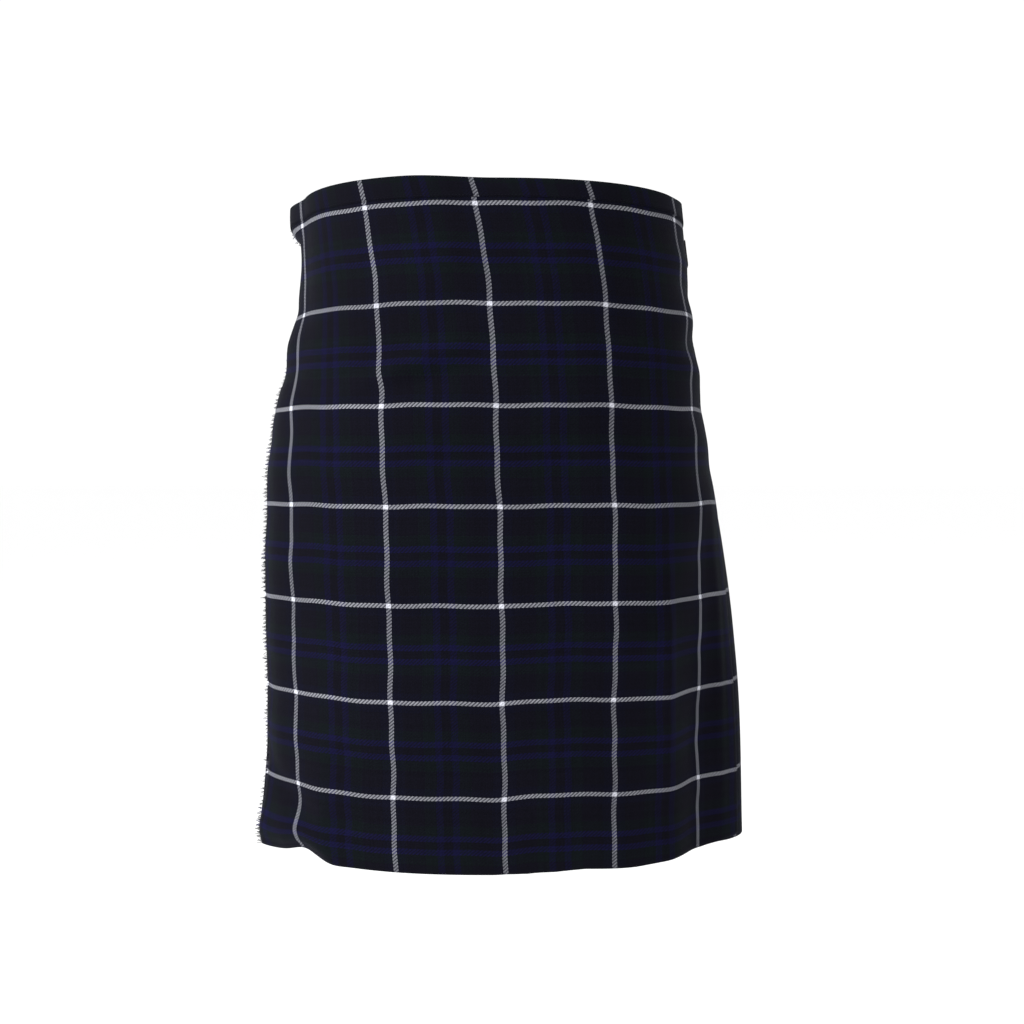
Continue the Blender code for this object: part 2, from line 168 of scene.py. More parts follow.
# %% The creases: across, height, half length, half width, slope in degrees, height in mm
CREASES = np.array([
    # the long pull from the left hip up to the middle, a ridge over a trough
    (-0.072, -0.131, 0.052, 0.0085, 17, 3.8),
    (-0.060, -0.147, 0.046, 0.0090, 15, -3.4),
    (-0.095, -0.118, 0.030, 0.0120, 24, -1.0),
    (-0.020, -0.100, 0.030, 0.0090, 30, 0.9),
    # short level creases across the middle
    (-0.048, -0.211, 0.030, 0.0055, 3, -1.5),
    (0.054, -0.212, 0.028, 0.0055, -2, -1.4),
    (0.066, -0.376, 0.034, 0.0060, -2, -1.6),
    (0.040, -0.300, 0.040, 0.0100, 4, 0.7),
    (-0.056, -0.296, 0.050, 0.0120, -5, 0.9),
    (-0.142, -0.474, 0.022, 0.0060, 12, -1.7),
    (-0.120, -0.466, 0.040, 0.0100, 6, 0.9),
    (0.010, -0.450, 0.055, 0.0140, 3, 0.8),
    (0.095, -0.475, 0.035, 0.0090, -6, -0.7),
    (-0.030, -0.530, 0.060, 0.0140, -3, 0.8),
    (0.085, -0.548, 0.045, 0.0120, 4, -0.8),
    # under the band
    (-0.105, -0.012, 0.022, 0.0110, -32, 0.9),
    (0.030, -0.030, 0.060, 0.0140, -4, -0.8),
    (0.120, -0.040, 0.040, 0.0120, 12, 0.9),
    (-0.150, -0.048, 0.035, 0.0110, 10, 1.0),
    # the wearer's right side, level ripples that wander down to the hem
    (-0.240, -0.022, 0.026, 0.0240, 90, -6.0),
    (-0.222, -0.074, 0.036, 0.0100, -6, -1.4),
    (-0.212, -0.103, 0.044, 0.0120, 10, 1.3),
    (-0.232, -0.102, 0.034, 0.0260, 0, 4.0),
    (-0.224, -0.132, 0.034, 0.0110, 4, -1.6),
    (-0.206, -0.160, 0.042, 0.0120, -8, 1.5),
    (-0.226, -0.193, 0.040, 0.0130, 6, -1.3),
    (-0.214, -0.226, 0.036, 0.0120, -4, 1.2),
    (-0.228, -0.262, 0.040, 0.0140, 7, -1.2),
    (-0.212, -0.300, 0.036, 0.0120, -6, 1.3),
    (-0.224, -0.346, 0.034, 0.0130, 5, -1.4),
    (-0.210, -0.388, 0.040, 0.0140, -9, 1.5),
    (-0.226, -0.430, 0.036, 0.0120, 8, -1.5),
    (-0.205, -0.470, 0.042, 0.0150, -5, 1.6),
    # the corner of the hem there: a hollow that slants up to the edge, then a roll below it
    (-0.214, -0.520, 0.040, 0.0150, -30, -3.6),
    (-0.218, -0.558, 0.052, 0.0150, 8, 5.0),
    (-0.158, -0.522, 0.026, 0.0090, 20, 1.6),
    (-0.150, -0.540, 0.024, 0.0080, 12, -1.8),
    # the wearer's left side
    (0.212, -0.028, 0.036, 0.0100, 6, 1.4),
    (0.226, -0.056, 0.036, 0.0100, -8, -1.6),
    (0.208, -0.083, 0.040, 0.0110, 8, 1.7),
    (0.224, -0.103, 0.036, 0.0100, 14, -2.0),
    (0.212, -0.128, 0.040, 0.0110, -8, 2.6),
    (0.226, -0.166, 0.038, 0.0110, 6, -1.8),
    (0.210, -0.192, 0.040, 0.0120, -7, 1.6),
    (0.226, -0.222, 0.040, 0.0120, 4, -1.4),
    (0.205, -0.254, 0.036, 0.0120, -4, 1.2),
    (0.214, -0.300, 0.024, 0.0120, 2, -1.3),
    (0.196, -0.344, 0.026, 0.0120, -6, 1.4),
    (0.206, -0.386, 0.026, 0.0130, 6, -1.4),
    (0.194, -0.428, 0.028, 0.0130, -4, 1.4),
    (0.203, -0.392, 0.026, 0.0450, 0, 4.0),
    (0.204, -0.474, 0.028, 0.0130, 8, -1.5),
    (0.196, -0.520, 0.030, 0.0130, -6, 1.4),
    # the upright crease where the apron leaves the front, and the soft ridge before its fold
    (0.153, -0.385, 0.090, 0.0075, 91, 2.4),
    (0.142, -0.545, 0.060, 0.0260, 90, -2.4),
    (0.228, -0.430, 0.130, 0.0070, 91, 2.4),
    # round the back, looser and fewer
    (0.330, -0.090, 0.060, 0.0140, 6, 1.2),
    (0.350, -0.130, 0.050, 0.0150, -4, -1.3),
    (0.440, -0.062, 0.060, 0.0140, 3, 1.0),
    (-0.330, -0.085, 0.055, 0.0140, -6, 1.2),
    (-0.355, -0.126, 0.060, 0.0150, 5, -1.3),
    (-0.440, -0.066, 0.050, 0.0130, -3, 1.0),
    (0.400, -0.250, 0.080, 0.0300, 8, 2.0),
    (-0.400, -0.270, 0.080, 0.0320, -7, 2.0),
    (0.370, -0.400, 0.070, 0.0350, -6, -2.0),
    (-0.375, -0.420, 0.070, 0.0350, 9, -2.0),
    (0.450, -0.500, 0.080, 0.0400, 5, 2.2),
    (-0.455, -0.505, 0.075, 0.0400, -5, 2.2),
])


def crease_height(u, z):
    """The sum of height * exp(-(along / half length)^2 - (across / half width)^2), along and
    across being (u, z) measured from the crease's middle and turned by its slope."""
    u, z = np.broadcast_arrays(u, z)
    out = np.zeros(u.shape)
    for at_u, at_z, half_length, half_width, slope, height in CREASES:
        turn = np.radians(slope)
        along = (u - at_u) * np.cos(turn) + (z - at_z) * np.sin(turn)
        across = (z - at_z) * np.cos(turn) - (u - at_u) * np.sin(turn)
        out += height / 1000 * np.exp(-(along / half_length) ** 2 - (across / half_width) ** 2)
    return out


print("creases:", len(CREASES), "from", CREASES[:, 5].min(), "to", CREASES[:, 5].max(), "mm")


# %% [markdown]
# ## From a place on the cloth to a point in space
# A place is (s, r, z): s runs round the ring from the centre front, r stands out from it, and
# z is the height. One function turns whole arrays of places into points, so each piece below
# only has to say where it lies in (s, r, z).

# %% Places and points
ROW_KEY = 10.0
KEYS = (ALONG + ROW_KEY * np.arange(len(HEIGHTS))[:, None]).ravel()


def on_ring(row, s, values):
    """The values of one row of the ring at s. All rows lie end to end on one line, with 10 m
    between their starts, so a single interpolation serves every point."""
    around = np.mod(s - START[row], LENGTH[row])
    return np.interp(around + ROW_KEY * row, KEYS, values.ravel())


def lean(z):
    """How far the apron's centre line stands to the wearer's left of the middle."""
    return np.interp(z, HEIGHTS, LEAN)


def around_length(z):
    """The whole way round the ring."""
    return np.interp(z, HEIGHTS, LENGTH)


def from_centre(s, z):
    """How far round from the apron's centre line, between half a turn back and half a turn on."""
    start = np.interp(z, HEIGHTS, START)
    return np.mod(s - start, around_length(z)) + start - lean(z)


def hang(u, z):
    """How the whole width hangs a little out of level: the waist dips on the wearer's left,
    below the hips the cloth there is drawn up, most just past the middle, and the hem lifts in
    one short bump near the fringed corner."""
    dip = -0.0034 * smooth_step((u + 0.06) / 0.08) * (1 - smooth_step((u - 0.20) / 0.06))
    dip = dip * smooth_step((z - BAND_FOOT) / (TOP - BAND_FOOT))
    drawn = smooth_step((u + 0.012) / 0.045) * (1 - 0.72 * smooth_step((u - 0.045) / 0.075))
    drawn = drawn * (1 - smooth_step((u - 0.260) / 0.120))
    drawn = 0.0037 * drawn * smooth_step((-0.12 - z) / 0.40)
    bump = 0.0080 * np.exp(-((u + 0.196) / 0.022) ** 2) * smooth_step((HEM + 0.040 - z) / 0.040)
    return dip + drawn + bump


def hem_roll(u, z):
    """The last 12 mm near the fringed corner turns in by up to 4 mm, and less at the corner."""
    near = smooth_step((-0.152 - u) / 0.026) * smooth_step((u + 0.262) / 0.050)
    return -0.0045 * near * smooth_step((HEM + 0.012 - z) / 0.012)


def place(s, r, z, rise=0.0):
    """ring(s, z) + out * normal(s, z), with out = r + folds + creases + the hem's roll, then
    raised by rise and by how the width hangs. The ring between two heights is their mix."""
    s, r, z, rise = np.broadcast_arrays(s, r, z, rise)
    level = np.clip((z - HEM) / (TOP - HEM), 0.0, 1.0) * (len(HEIGHTS) - 1)
    low = np.minimum(level.astype(int), len(HEIGHTS) - 2)
    part = level - low
    x, y, out_x, out_y = (
        (1 - part) * on_ring(low, s, values) + part * on_ring(low + 1, s, values)
        for values in (RING_X, RING_Y, OUT_X, OUT_Y)
    )
    size = np.hypot(out_x, out_y)
    u = from_centre(s, z)
    out = r + fold_height(u, z) + crease_height(u, z) + hem_roll(u, z)
    height = z + rise + hang(u, z)
    return np.stack([x + out * out_x / size, y + out * out_y / size, height], axis=-1)


print("the cloth at the centre front, halfway down:", place(0.0, 0.0, -0.3).round(4))


# %% [markdown]
# ## Making meshes
# A piece of cloth is a grid of points with a UV map in metres, measured along the threads, so
# that the woven pattern follows the cloth and not the space around it. Solidify gives it its
# thickness. Closed pieces, such as straps, are grids whose columns meet.

# %% Helpers that turn grids into pieces
def grid_faces(rows, columns, closed_rows=False, closed_columns=False):
    """Four corners of each cell, (i, j), (i+1, j), (i+1, j+1), (i, j+1): rows go down and
    columns go towards the wearer's left, so the faces look outwards."""
    i = np.arange(rows if closed_rows else rows - 1)[:, None]
    j = np.arange(columns if closed_columns else columns - 1)[None, :]
    below = (i + 1) % rows
    beside = (j + 1) % columns
    corners = [(i, j), (below, j), (below, beside), (i, beside)]
    numbers = np.broadcast_arrays(*(row * columns + column for row, column in corners))
    return np.stack(numbers, axis=-1).reshape(-1, 4)


def add_piece(name, points, faces, finish, uv=None):
    """An object at the origin with smooth faces, and a UV for each point where one is given."""
    mesh = bpy.data.meshes.new(name)
    mesh.from_pydata(points.reshape(-1, 3).tolist(), [], faces.tolist())
    if uv is not None:
        layer = mesh.uv_layers.new(name="threads")
        corners = np.empty(len(mesh.loops), np.int32)
        mesh.loops.foreach_get("vertex_index", corners)
        layer.data.foreach_set("uv", uv.reshape(-1, 2)[corners].astype(np.float32).ravel())
    mesh.shade_smooth()
    mesh.materials.append(finish)
    piece = bpy.data.objects.new(name, mesh)
    bpy.context.scene.collection.objects.link(piece)
    return piece


def add_cloth(name, points, uv, finish, thickness):
    """A sheet from a grid of points, given its thickness to both sides."""
    rows, columns = points.shape[:2]
    piece = add_piece(name, points, grid_faces(rows, columns), finish, uv)
    wall = piece.modifiers.new("thickness", "SOLIDIFY")
    wall.thickness = thickness
    wall.offset = 0.0
    return piece


def belongs(piece, slot, *nodes):
    """Tells the frame where a finished piece rides and what it replaces. The slot is not used."""
    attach(piece, "root")
    if nodes:
        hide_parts(*nodes)
    print(piece.name, "faces:", len(piece.data.polygons))
    return piece


print("a grid of 3 by 4 points has", len(grid_faces(3, 4)), "cells")

# %% [markdown]
# ## The tartan, thread by thread
# A tartan is woven with the same list of coloured threads both ways, called the sett, and it
# reads the same forwards and backwards from each middle stripe. Here a node group finds which
# thread a point lies on and looks up its colour, so the pattern stays sharp at any distance.
# The weave is a 2/2 twill: each thread goes over two and under two, one step on in each row,
# so where a white thread crosses dark ones it shows as a slanting hatch.

# %% Short helpers for shader nodes
def link_or_set(tree, socket, value):
    """Links the value to the socket if it is a node's output, or else sets it there."""
    if isinstance(value, bpy.types.NodeSocket):
        tree.links.new(value, socket)
    else:
        socket.default_value = value


def calculate(tree, operation, *values):
    """A Math node, with each input either a number or another node's output."""
    node = tree.nodes.new("ShaderNodeMath")
    node.operation = operation
    for socket, value in zip(node.inputs, values):
        link_or_set(tree, socket, value)
    return node.outputs[0]


def split_vector(tree, vector):
    """The vector's x, y and z."""
    node = tree.nodes.new("ShaderNodeSeparateXYZ")
    tree.links.new(vector, node.inputs[0])
    return node.outputs


def mix_colours(tree, share, first, second, blend="MIX"):
    """first + share * (blended - first), where a plain mix blends to the second colour."""
    node = tree.nodes.new("ShaderNodeMix")
    node.data_type = "RGBA"
    node.blend_type = blend
    for number, value in ((0, share), (6, first), (7, second)):
        link_or_set(tree, node.inputs[number], value)
    return node.outputs[2]


def mix_values(tree, share, first, second):
    """first + share * (second - first), for numbers."""
    node = tree.nodes.new("ShaderNodeMix")
    for number, value in ((0, share), (2, first), (3, second)):
        link_or_set(tree, node.inputs[number], value)
    return node.outputs[0]


def darken(tree, colour, shade):
    """Each of the colour's three parts times the shade."""
    grey = tree.nodes.new("ShaderNodeCombineColor")
    for socket in grey.inputs:
        tree.links.new(shade, socket)
    return mix_colours(tree, 1.0, colour, grey.outputs[0], "MULTIPLY")


def new_group(name, takes, gives):
    """An empty node group with named sockets: takes and gives are lists of (name, kind)."""
    group = bpy.data.node_groups.new(name, "ShaderNodeTree")
    for way, sockets in (("INPUT", takes), ("OUTPUT", gives)):
        for socket_name, kind in sockets:
            group.interface.new_socket(socket_name, in_out=way, socket_type="NodeSocket" + kind)
    inside = group.nodes.new("NodeGroupInput")
    outside = group.nodes.new("NodeGroupOutput")
    return group, inside.outputs, outside.inputs


def set_inputs(tree, node, **values):
    """Sets or links the node's inputs by name, with _ for each space in a name."""
    for name, value in values.items():
        link_or_set(tree, node.inputs[name.replace("_", " ")], value)


def use_group(tree, group, **values):
    """The group placed in a material or another group, with its inputs given by name."""
    node = tree.nodes.new("ShaderNodeGroup")
    node.node_tree = group
    set_inputs(tree, node, **values)
    return node.outputs


print("node helpers ready")

# %% The sett: from the middle of a white stripe to half way to the next
# Each row holds the number of threads, the colour of the crosswise yarn, and the colour of the
# lengthways yarn, which is spun harder and looks duller.
Stripe = namedtuple("Stripe", "threads crosswise lengthways")
HALF_SETT = (
    Stripe(2.5, (0.500, 0.505, 0.560, 1.0), (0.340, 0.345, 0.390, 1.0)),       # white
    Stripe(9, (0.0060, 0.0062, 0.0180, 1.0), (0.0060, 0.0062, 0.0168, 1.0)),   # navy
    Stripe(21, (0.0061, 0.0057, 0.0120, 1.0), (0.0061, 0.0057, 0.0118, 1.0)),  # black
    Stripe(12, (0.0058, 0.0098, 0.0118, 1.0), (0.0058, 0.0086, 0.0116, 1.0)),  # green
    Stripe(7, (0.0088, 0.0084, 0.0530, 1.0), (0.0074, 0.0070, 0.0350, 1.0)),   # blue
    Stripe(4.5, (0.0060, 0.0056, 0.0122, 1.0), (0.0060, 0.0056, 0.0120, 1.0)),  # black
)
HALF_THREADS = float(sum(stripe.threads for stripe in HALF_SETT))
WARP_PITCH = 0.100 / (2 * HALF_THREADS)     # the sett repeats every 100 mm across
WEFT_PITCH = 0.0861 / (2 * HALF_THREADS)    # and every 86.1 mm down
FIRST_LINE = 0.0063                         # height of the first white line across
print("threads in the sett:", 2 * HALF_THREADS, "warp every", round(WARP_PITCH * 1000, 3), "mm")


# %% Node groups: the colour of a thread, one way and the other
def thread_colour(way):
    """A group that counts from the middle thread of a white stripe, folds the count back at
    each middle stripe, and looks the colour up in the sett. Middle threads count as halves."""
    group, takes, gives = new_group(
        f"{way} thread", [("Thread", "Float")], [("Color", "Color"), ("Shade", "Float")]
    )
    number = calculate(group, "FLOOR", takes["Thread"])
    turned = calculate(group, "ADD", number, HALF_THREADS)
    wrapped = calculate(group, "FLOORED_MODULO", turned, 2 * HALF_THREADS)
    centred = calculate(group, "SUBTRACT", wrapped, HALF_THREADS)
    share = calculate(group, "DIVIDE", calculate(group, "ABSOLUTE", centred), HALF_THREADS)
    ramp = group.nodes.new("ShaderNodeValToRGB")
    ramp.color_ramp.interpolation = "CONSTANT"
    starts = np.cumsum([0] + [stripe.threads for stripe in HALF_SETT]) / HALF_THREADS
    while len(ramp.color_ramp.elements) < len(HALF_SETT):
        ramp.color_ramp.elements.new(0.5)
    for stop, stripe, start in zip(ramp.color_ramp.elements, HALF_SETT, starts):
        stop.position = start
        stop.color = getattr(stripe, way)
    group.links.new(share, ramp.inputs[0])
    chance = group.nodes.new("ShaderNodeTexWhiteNoise")
    chance.noise_dimensions = "1D"
    group.links.new(number, chance.inputs["W"])
    group.links.new(ramp.outputs[0], gives["Color"])
    group.links.new(chance.outputs["Value"], gives["Shade"])
    return group


crosswise = thread_colour("crosswise")
lengthways = thread_colour("lengthways")
print("stripes in half the sett:", len(HALF_SETT))

# %% Node group: the 2/2 twill
TWILL_STEPS = 4.0       # threads in one repeat of the twill, two over and two under
SHADE_OVER_DARK = 0.37           # painted shade: a thread over a dark one is darkened to this share, for the shade in the gaps between the threads and the dark neighbours hiding part of it
UNSHADED_FROM = 0.34       # a thread over one this pale gets no painted shade
SEEN_BETWEEN = 0.06     # how much of the thread beneath shows between the upper ones
twill, twill_in, twill_out = new_group(
    "tartan twill",
    [("Vector", "Vector")],
    [("Color", "Color"), ("Height", "Float"), ("Shade", "Float")],
)
twill_math = partial(calculate, twill)
across_cloth, down_cloth, _ = split_vector(twill, twill_in["Vector"])
warp_at = twill_math("DIVIDE", across_cloth, WARP_PITCH)
weft_at = twill_math("DIVIDE", down_cloth, -WEFT_PITCH)
warp_number, weft_number = twill_math("FLOOR", warp_at), twill_math("FLOOR", weft_at)
step = twill_math("FLOORED_MODULO", twill_math("ADD", warp_number, weft_number), TWILL_STEPS)
warp_on_top = twill_math("LESS_THAN", step, TWILL_STEPS / 2)
warp_thread = use_group(twill, lengthways, Thread=warp_at)
weft_thread = use_group(twill, crosswise, Thread=weft_at)


def round_over(share):
    """4 a (1 - a): 0 at both edges of a thread and 1 on its middle."""
    other = twill_math("SUBTRACT", 1.0, share)
    return twill_math("MULTIPLY", twill_math("MULTIPLY", share, other), 4.0)


def thread_height(at, other_number, start):
    """sqrt(round(across)) * (0.45 + 0.55 round(along)): a thread that dips where it ends. Along
    is half of how far into its two threads on top a point is."""
    float_at = twill_math("FLOORED_MODULO", other_number, TWILL_STEPS)
    along = twill_math("MULTIPLY_ADD", float_at, 0.5, start)
    rise = twill_math("MULTIPLY_ADD", round_over(along), 0.55, 0.45)
    across = round_over(twill_math("FRACT", at))
    return twill_math("MULTIPLY", twill_math("SQRT", across), rise)


warp_height = thread_height(warp_at, twill_math("ADD", warp_number, weft_at), 0.0)
weft_height = thread_height(weft_at, twill_math("ADD", warp_at, weft_number), -1.0)
twill.links.new(mix_values(twill, warp_on_top, weft_height, warp_height), twill_out["Height"])

# %% The twill's colour: the upper thread, darkened over dark ones by painted shade, and a little of the lower one
over = mix_colours(twill, warp_on_top, weft_thread["Color"], warp_thread["Color"])
under = mix_colours(twill, warp_on_top, warp_thread["Color"], weft_thread["Color"])
under_grey = twill.nodes.new("ShaderNodeRGBToBW")
twill.links.new(under, under_grey.inputs[0])
# Painted shade: the upper thread is darker where the thread beneath it is dark.
unshaded = twill_math("MINIMUM", twill_math("DIVIDE", under_grey.outputs[0], UNSHADED_FROM), 1.0)
woven = darken(twill, over, twill_math("MULTIPLY_ADD", unshaded, 1 - SHADE_OVER_DARK, SHADE_OVER_DARK))
twill.links.new(mix_colours(twill, SEEN_BETWEEN, woven, under), twill_out["Color"])
shade = mix_values(twill, warp_on_top, weft_thread["Shade"], warp_thread["Shade"])
twill.links.new(shade, twill_out["Shade"])
print("twill nodes:", len(twill.nodes))

# %% Node group: nap and handling, the uneven bloom of worn wool
nap, nap_in, nap_out = new_group(
    "nap and handling",
    [("Vector", "Vector"), ("Size", "Float")],
    [("Shade", "Float"), ("Height", "Float")],
)


def soft_noise(scale, detail):
    """Noise at this many lumps a metre, divided by the size."""
    node = nap.nodes.new("ShaderNodeTexNoise")
    lumps = calculate(nap, "DIVIDE", scale, nap_in["Size"])
    set_inputs(nap, node, Vector=nap_in["Vector"], Scale=lumps, Detail=detail)
    return node.outputs[0]


patches = soft_noise(12.0, 3.0)
fuzz = soft_noise(420.0, 2.0)
blend = calculate(nap, "MULTIPLY_ADD", fuzz, 0.5, calculate(nap, "MULTIPLY", patches, 0.5))
nap.links.new(blend, nap_out["Shade"])
nap.links.new(fuzz, nap_out["Height"])
print("nap nodes:", len(nap.nodes))


# %% [markdown]
# ## The finishes
# Wool scatters light softly: it is rough, hardly shiny face on, and it has a faint bloom where
# it turns away, which the sheen gives. Numbers that are the same all over are set on the
# shader itself, and only what changes over the surface comes from nodes.

# %% Helpers for finishes
def new_material(name):
    """A new material with its node tree and its shader."""
    made = bpy.data.materials.new(name)
    made.use_nodes = True
    return made, made.node_tree, made.node_tree.nodes["Principled BSDF"]


def add_bump(tree, shader, height, strength, distance):
    """The surface tilts as if it rose by height * distance."""
    bump = tree.nodes.new("ShaderNodeBump")
    set_inputs(tree, bump, Strength=strength, Distance=distance, Height=height)
    tree.links.new(bump.outputs[0], shader.inputs["Normal"])


def along_threads(tree):
    """The piece's own UV, in metres along its threads."""
    uv = tree.nodes.new("ShaderNodeUVMap")
    uv.uv_map = "threads"
    return uv.outputs[0]


def add_nap(tree, size):
    """The nap and handling, placed by the object's own coordinates."""
    surface = tree.nodes.new("ShaderNodeTexCoord")
    return use_group(tree, nap, Vector=surface.outputs["Object"], Size=size)


print("helpers for finishes ready")


# %% Kilt cloth and waistband cloth
def make_wool(name, nap_size):
    """Tartan cloth: the twill's colour, each thread a little lighter or darker, and the nap."""
    made, tree, shader = new_material(name)
    cloth = use_group(tree, twill, Vector=along_threads(tree))
    bloom = add_nap(tree, nap_size)
    thread_shade = calculate(tree, "MULTIPLY_ADD", cloth["Shade"], 0.30, 0.85)
    nap_shade = calculate(tree, "MULTIPLY_ADD", bloom["Shade"], 1.20, 0.40)
    shade = calculate(tree, "MULTIPLY", thread_shade, nap_shade)
    set_inputs(
        tree, shader, Base_Color=darken(tree, cloth["Color"], shade),
        Roughness=calculate(tree, "MULTIPLY_ADD", bloom["Shade"], 0.16, 0.78),
        Specular_IOR_Level=0.035, Sheen_Weight=0.035, Sheen_Roughness=0.35,
        Sheen_Tint=(0.55, 0.62, 0.80, 1.0),
    )
    height = calculate(tree, "MULTIPLY_ADD", bloom["Height"], 0.35, cloth["Height"])
    add_bump(tree, shader, height, 0.6, 0.00018)
    return made


kilt_cloth = make_wool("kilt_cloth", 1.0)
band_cloth = make_wool("band_cloth", 0.7)
print("cloth finishes:", kilt_cloth.name, band_cloth.name)

# %% Fringe yarn: the crosswise yarn on its own, with its twist as a fine bump
YARN_TWIST = 5200.0     # radians a metre
yarn, yarn_tree, yarn_shader = new_material("loose_yarn")
along_yarn, down_edge, _ = split_vector(yarn_tree, along_threads(yarn_tree))
pick = calculate(yarn_tree, "DIVIDE", down_edge, -WEFT_PITCH)
yarn_colour = use_group(yarn_tree, crosswise, Thread=pick)
yarn_shade = calculate(yarn_tree, "MULTIPLY_ADD", yarn_colour["Shade"], 0.5, 0.9)
twist = calculate(yarn_tree, "SINE", calculate(yarn_tree, "MULTIPLY", along_yarn, YARN_TWIST))
set_inputs(
    yarn_tree, yarn_shader, Base_Color=darken(yarn_tree, yarn_colour["Color"], yarn_shade),
    Roughness=0.9, Specular_IOR_Level=0.05, Sheen_Weight=0.10,
)
add_bump(yarn_tree, yarn_shader, twist, 0.5, 0.0001)
print("yarn nodes:", len(yarn_tree.nodes))

# %% Strap leather: fine grain, softly creased, with a row of punched holes
HOLES = 5
HOLE_PITCH = 0.015
HOLE_RADIUS = 0.0017
leather, leather_tree, leather_shader = new_material("black_leather")
leather_math = partial(calculate, leather_tree)
along_strap, up_strap, _ = split_vector(leather_tree, along_threads(leather_tree))
nearest = leather_math("ROUND", leather_math("DIVIDE", along_strap, HOLE_PITCH))
nearest = leather_math("MINIMUM", leather_math("MAXIMUM", nearest, 0.0), HOLES - 1.0)
from_hole = leather_math("SUBTRACT", along_strap, leather_math("MULTIPLY", nearest, HOLE_PITCH))
squares = leather_math(
    "ADD", leather_math("POWER", from_hole, 2.0), leather_math("POWER", up_strap, 2.0)
)
hole = leather_math("LESS_THAN", squares, HOLE_RADIUS ** 2)
surface = leather_tree.nodes.new("ShaderNodeTexCoord")
grain = leather_tree.nodes.new("ShaderNodeTexVoronoi")
set_inputs(leather_tree, grain, Vector=surface.outputs["Object"], Scale=900.0)
wear = add_nap(leather_tree, 0.5)
leather_colour = mix_colours(
    leather_tree, wear["Shade"], (0.004, 0.004, 0.005, 1.0), (0.011, 0.010, 0.010, 1.0)
)
# Each hole is painted near black: painted shade inside the punched hole.
leather_colour = mix_colours(leather_tree, hole, leather_colour, (0.0008, 0.0008, 0.0008, 1.0))
leather_rough = leather_math("MULTIPLY_ADD", wear["Shade"], 0.25, 0.40)
set_inputs(
    leather_tree, leather_shader, Base_Color=leather_colour,
    Roughness=leather_math("MAXIMUM", leather_rough, hole), Specular_IOR_Level=0.30,
)
leather_height = leather_math("MULTIPLY_ADD", wear["Height"], 0.4, grain.outputs[0])
leather_height = leather_math("MULTIPLY_ADD", hole, -4.0, leather_height)
add_bump(leather_tree, leather_shader, leather_height, 0.35, 0.0003)
print("leather nodes:", len(leather_tree.nodes))


# %% Buckle metal, polished with fine handling marks, and dark sewing thread
def make_marked(name, nap_size, dark, light, bump):
    """A colour between dark and light where the nap says, which also gives the bump."""
    made, tree, shader = new_material(name)
    marks = add_nap(tree, nap_size)
    set_inputs(tree, shader, Base_Color=mix_colours(tree, marks["Shade"], dark, light))
    add_bump(tree, shader, marks["Height"], bump, 0.0001)
    return made, tree, shader, marks


metal, metal_tree, metal_shader, marks = make_marked(
    "bright_metal", 0.25, (0.52, 0.52, 0.54, 1.0), (0.74, 0.74, 0.76, 1.0), 0.15
)
metal_rough = calculate(metal_tree, "MULTIPLY_ADD", marks["Shade"], 0.25, 0.12)
set_inputs(metal_tree, metal_shader, Metallic=1.0, Roughness=metal_rough)
thread, thread_tree, thread_shader, _ = make_marked(
    "sewing_thread", 0.2, (0.003, 0.003, 0.006, 1.0), (0.008, 0.008, 0.013, 1.0), 0.3
)
set_inputs(thread_tree, thread_shader, Roughness=0.8, Specular_IOR_Level=0.06)
print("materials:", len(bpy.data.materials))


# %% [markdown]
# ## Where the laps and pleats lie
# The cloth goes once round and then laps. These short functions say where each edge and fold
# is at a height, and how far apart two folded layers are: tight where the pleats are stitched,
# looser towards the hem.

# %% Edges, folds and layers
STITCHED_GAP = 0.0004   # between two layers where the pleats are stitched
LOOSER = 0.0008         # how much more it is at the hem


def layer(z):
    """How far apart the middles of two folded layers are."""
    return CLOTH + STITCHED_GAP + LOOSER * smooth_step((-0.20 - z) / 0.38)


def right_fold(z):
    """The over apron's folded edge, on the wearer's left, which is a viewer's right."""
    return lean(z) + APRON_EDGE


def fringed_edge(z):
    """The over apron's fringed edge, on the wearer's right."""
    return lean(z) - APRON_EDGE


def last_fold(z):
    """The last pleat's fold, the lap's width past the fringed edge once round."""
    return fringed_edge(z) + around_length(z) + LAP


def pleat_width(z):
    """What each pleat shows: the way from the folded edge to the last fold, in equal parts."""
    return (last_fold(z) - right_fold(z)) / PLEATS


def pleat_edge(k, z):
    """The base fold of pleat k, counted from the folded edge."""
    return right_fold(z) + pleat_width(z) * k


def apron_lift(s, z):
    """The over apron rises over the last pleats, and more over the waistband and strap there.
    Its upper corner flares out further."""
    past_centre = lean(z) - s
    toward_edge = smooth_step((past_centre - 0.185) / 0.045)
    near_waist = smooth_step((z + 0.120) / 0.100)
    corner = smooth_step((past_centre - 0.190) / 0.060) * smooth_step((z + 0.008) / 0.018)
    return toward_edge * (LIFT + WAIST_LIFT * near_waist) + CORNER_FLARE * corner


def under_depth(s, z):
    """How far the under apron lies inside the over apron, more where it passes the tucks."""
    shallow = 2 * layer(z) + 2 * BAND_CLOTH
    deep = 4 * layer(z) + 2 * CLOTH + 2 * BAND_CLOTH + 0.0018
    near_tucks = smooth_step((s - right_fold(z) + 2 * DEEP_TUCK + 0.010) / DEEP_TUCK)
    return shallow + (deep - shallow) * near_tucks


print("a pleat shows", round(float(pleat_width(TOP)) * 1000, 1), "mm at the waist and",
      round(float(pleat_width(HEM)) * 1000, 1), "mm at the hem")


# %% [markdown]
# ## The over apron
# The plain front of the kilt: the outermost layer, fringed down one edge and turned under in
# a deep fold at the other. Its hem is the cloth's own edge, and is not quite level.
# It is one grid: across the front, round the fold on a small half circle, and back behind.

# %% The hem's own shape
HEM_CUT = np.array([    # across from the centre line in metres, and what is cut off in mm
    (-0.252, 0.0), (0.0, 0.0), (0.020, -2.0), (0.045, -1.6), (0.072, 0.8), (0.120, 0.3),
    (0.165, 1.6), (0.205, 1.0), (0.236, 4.0), (0.252, 6.0),
])


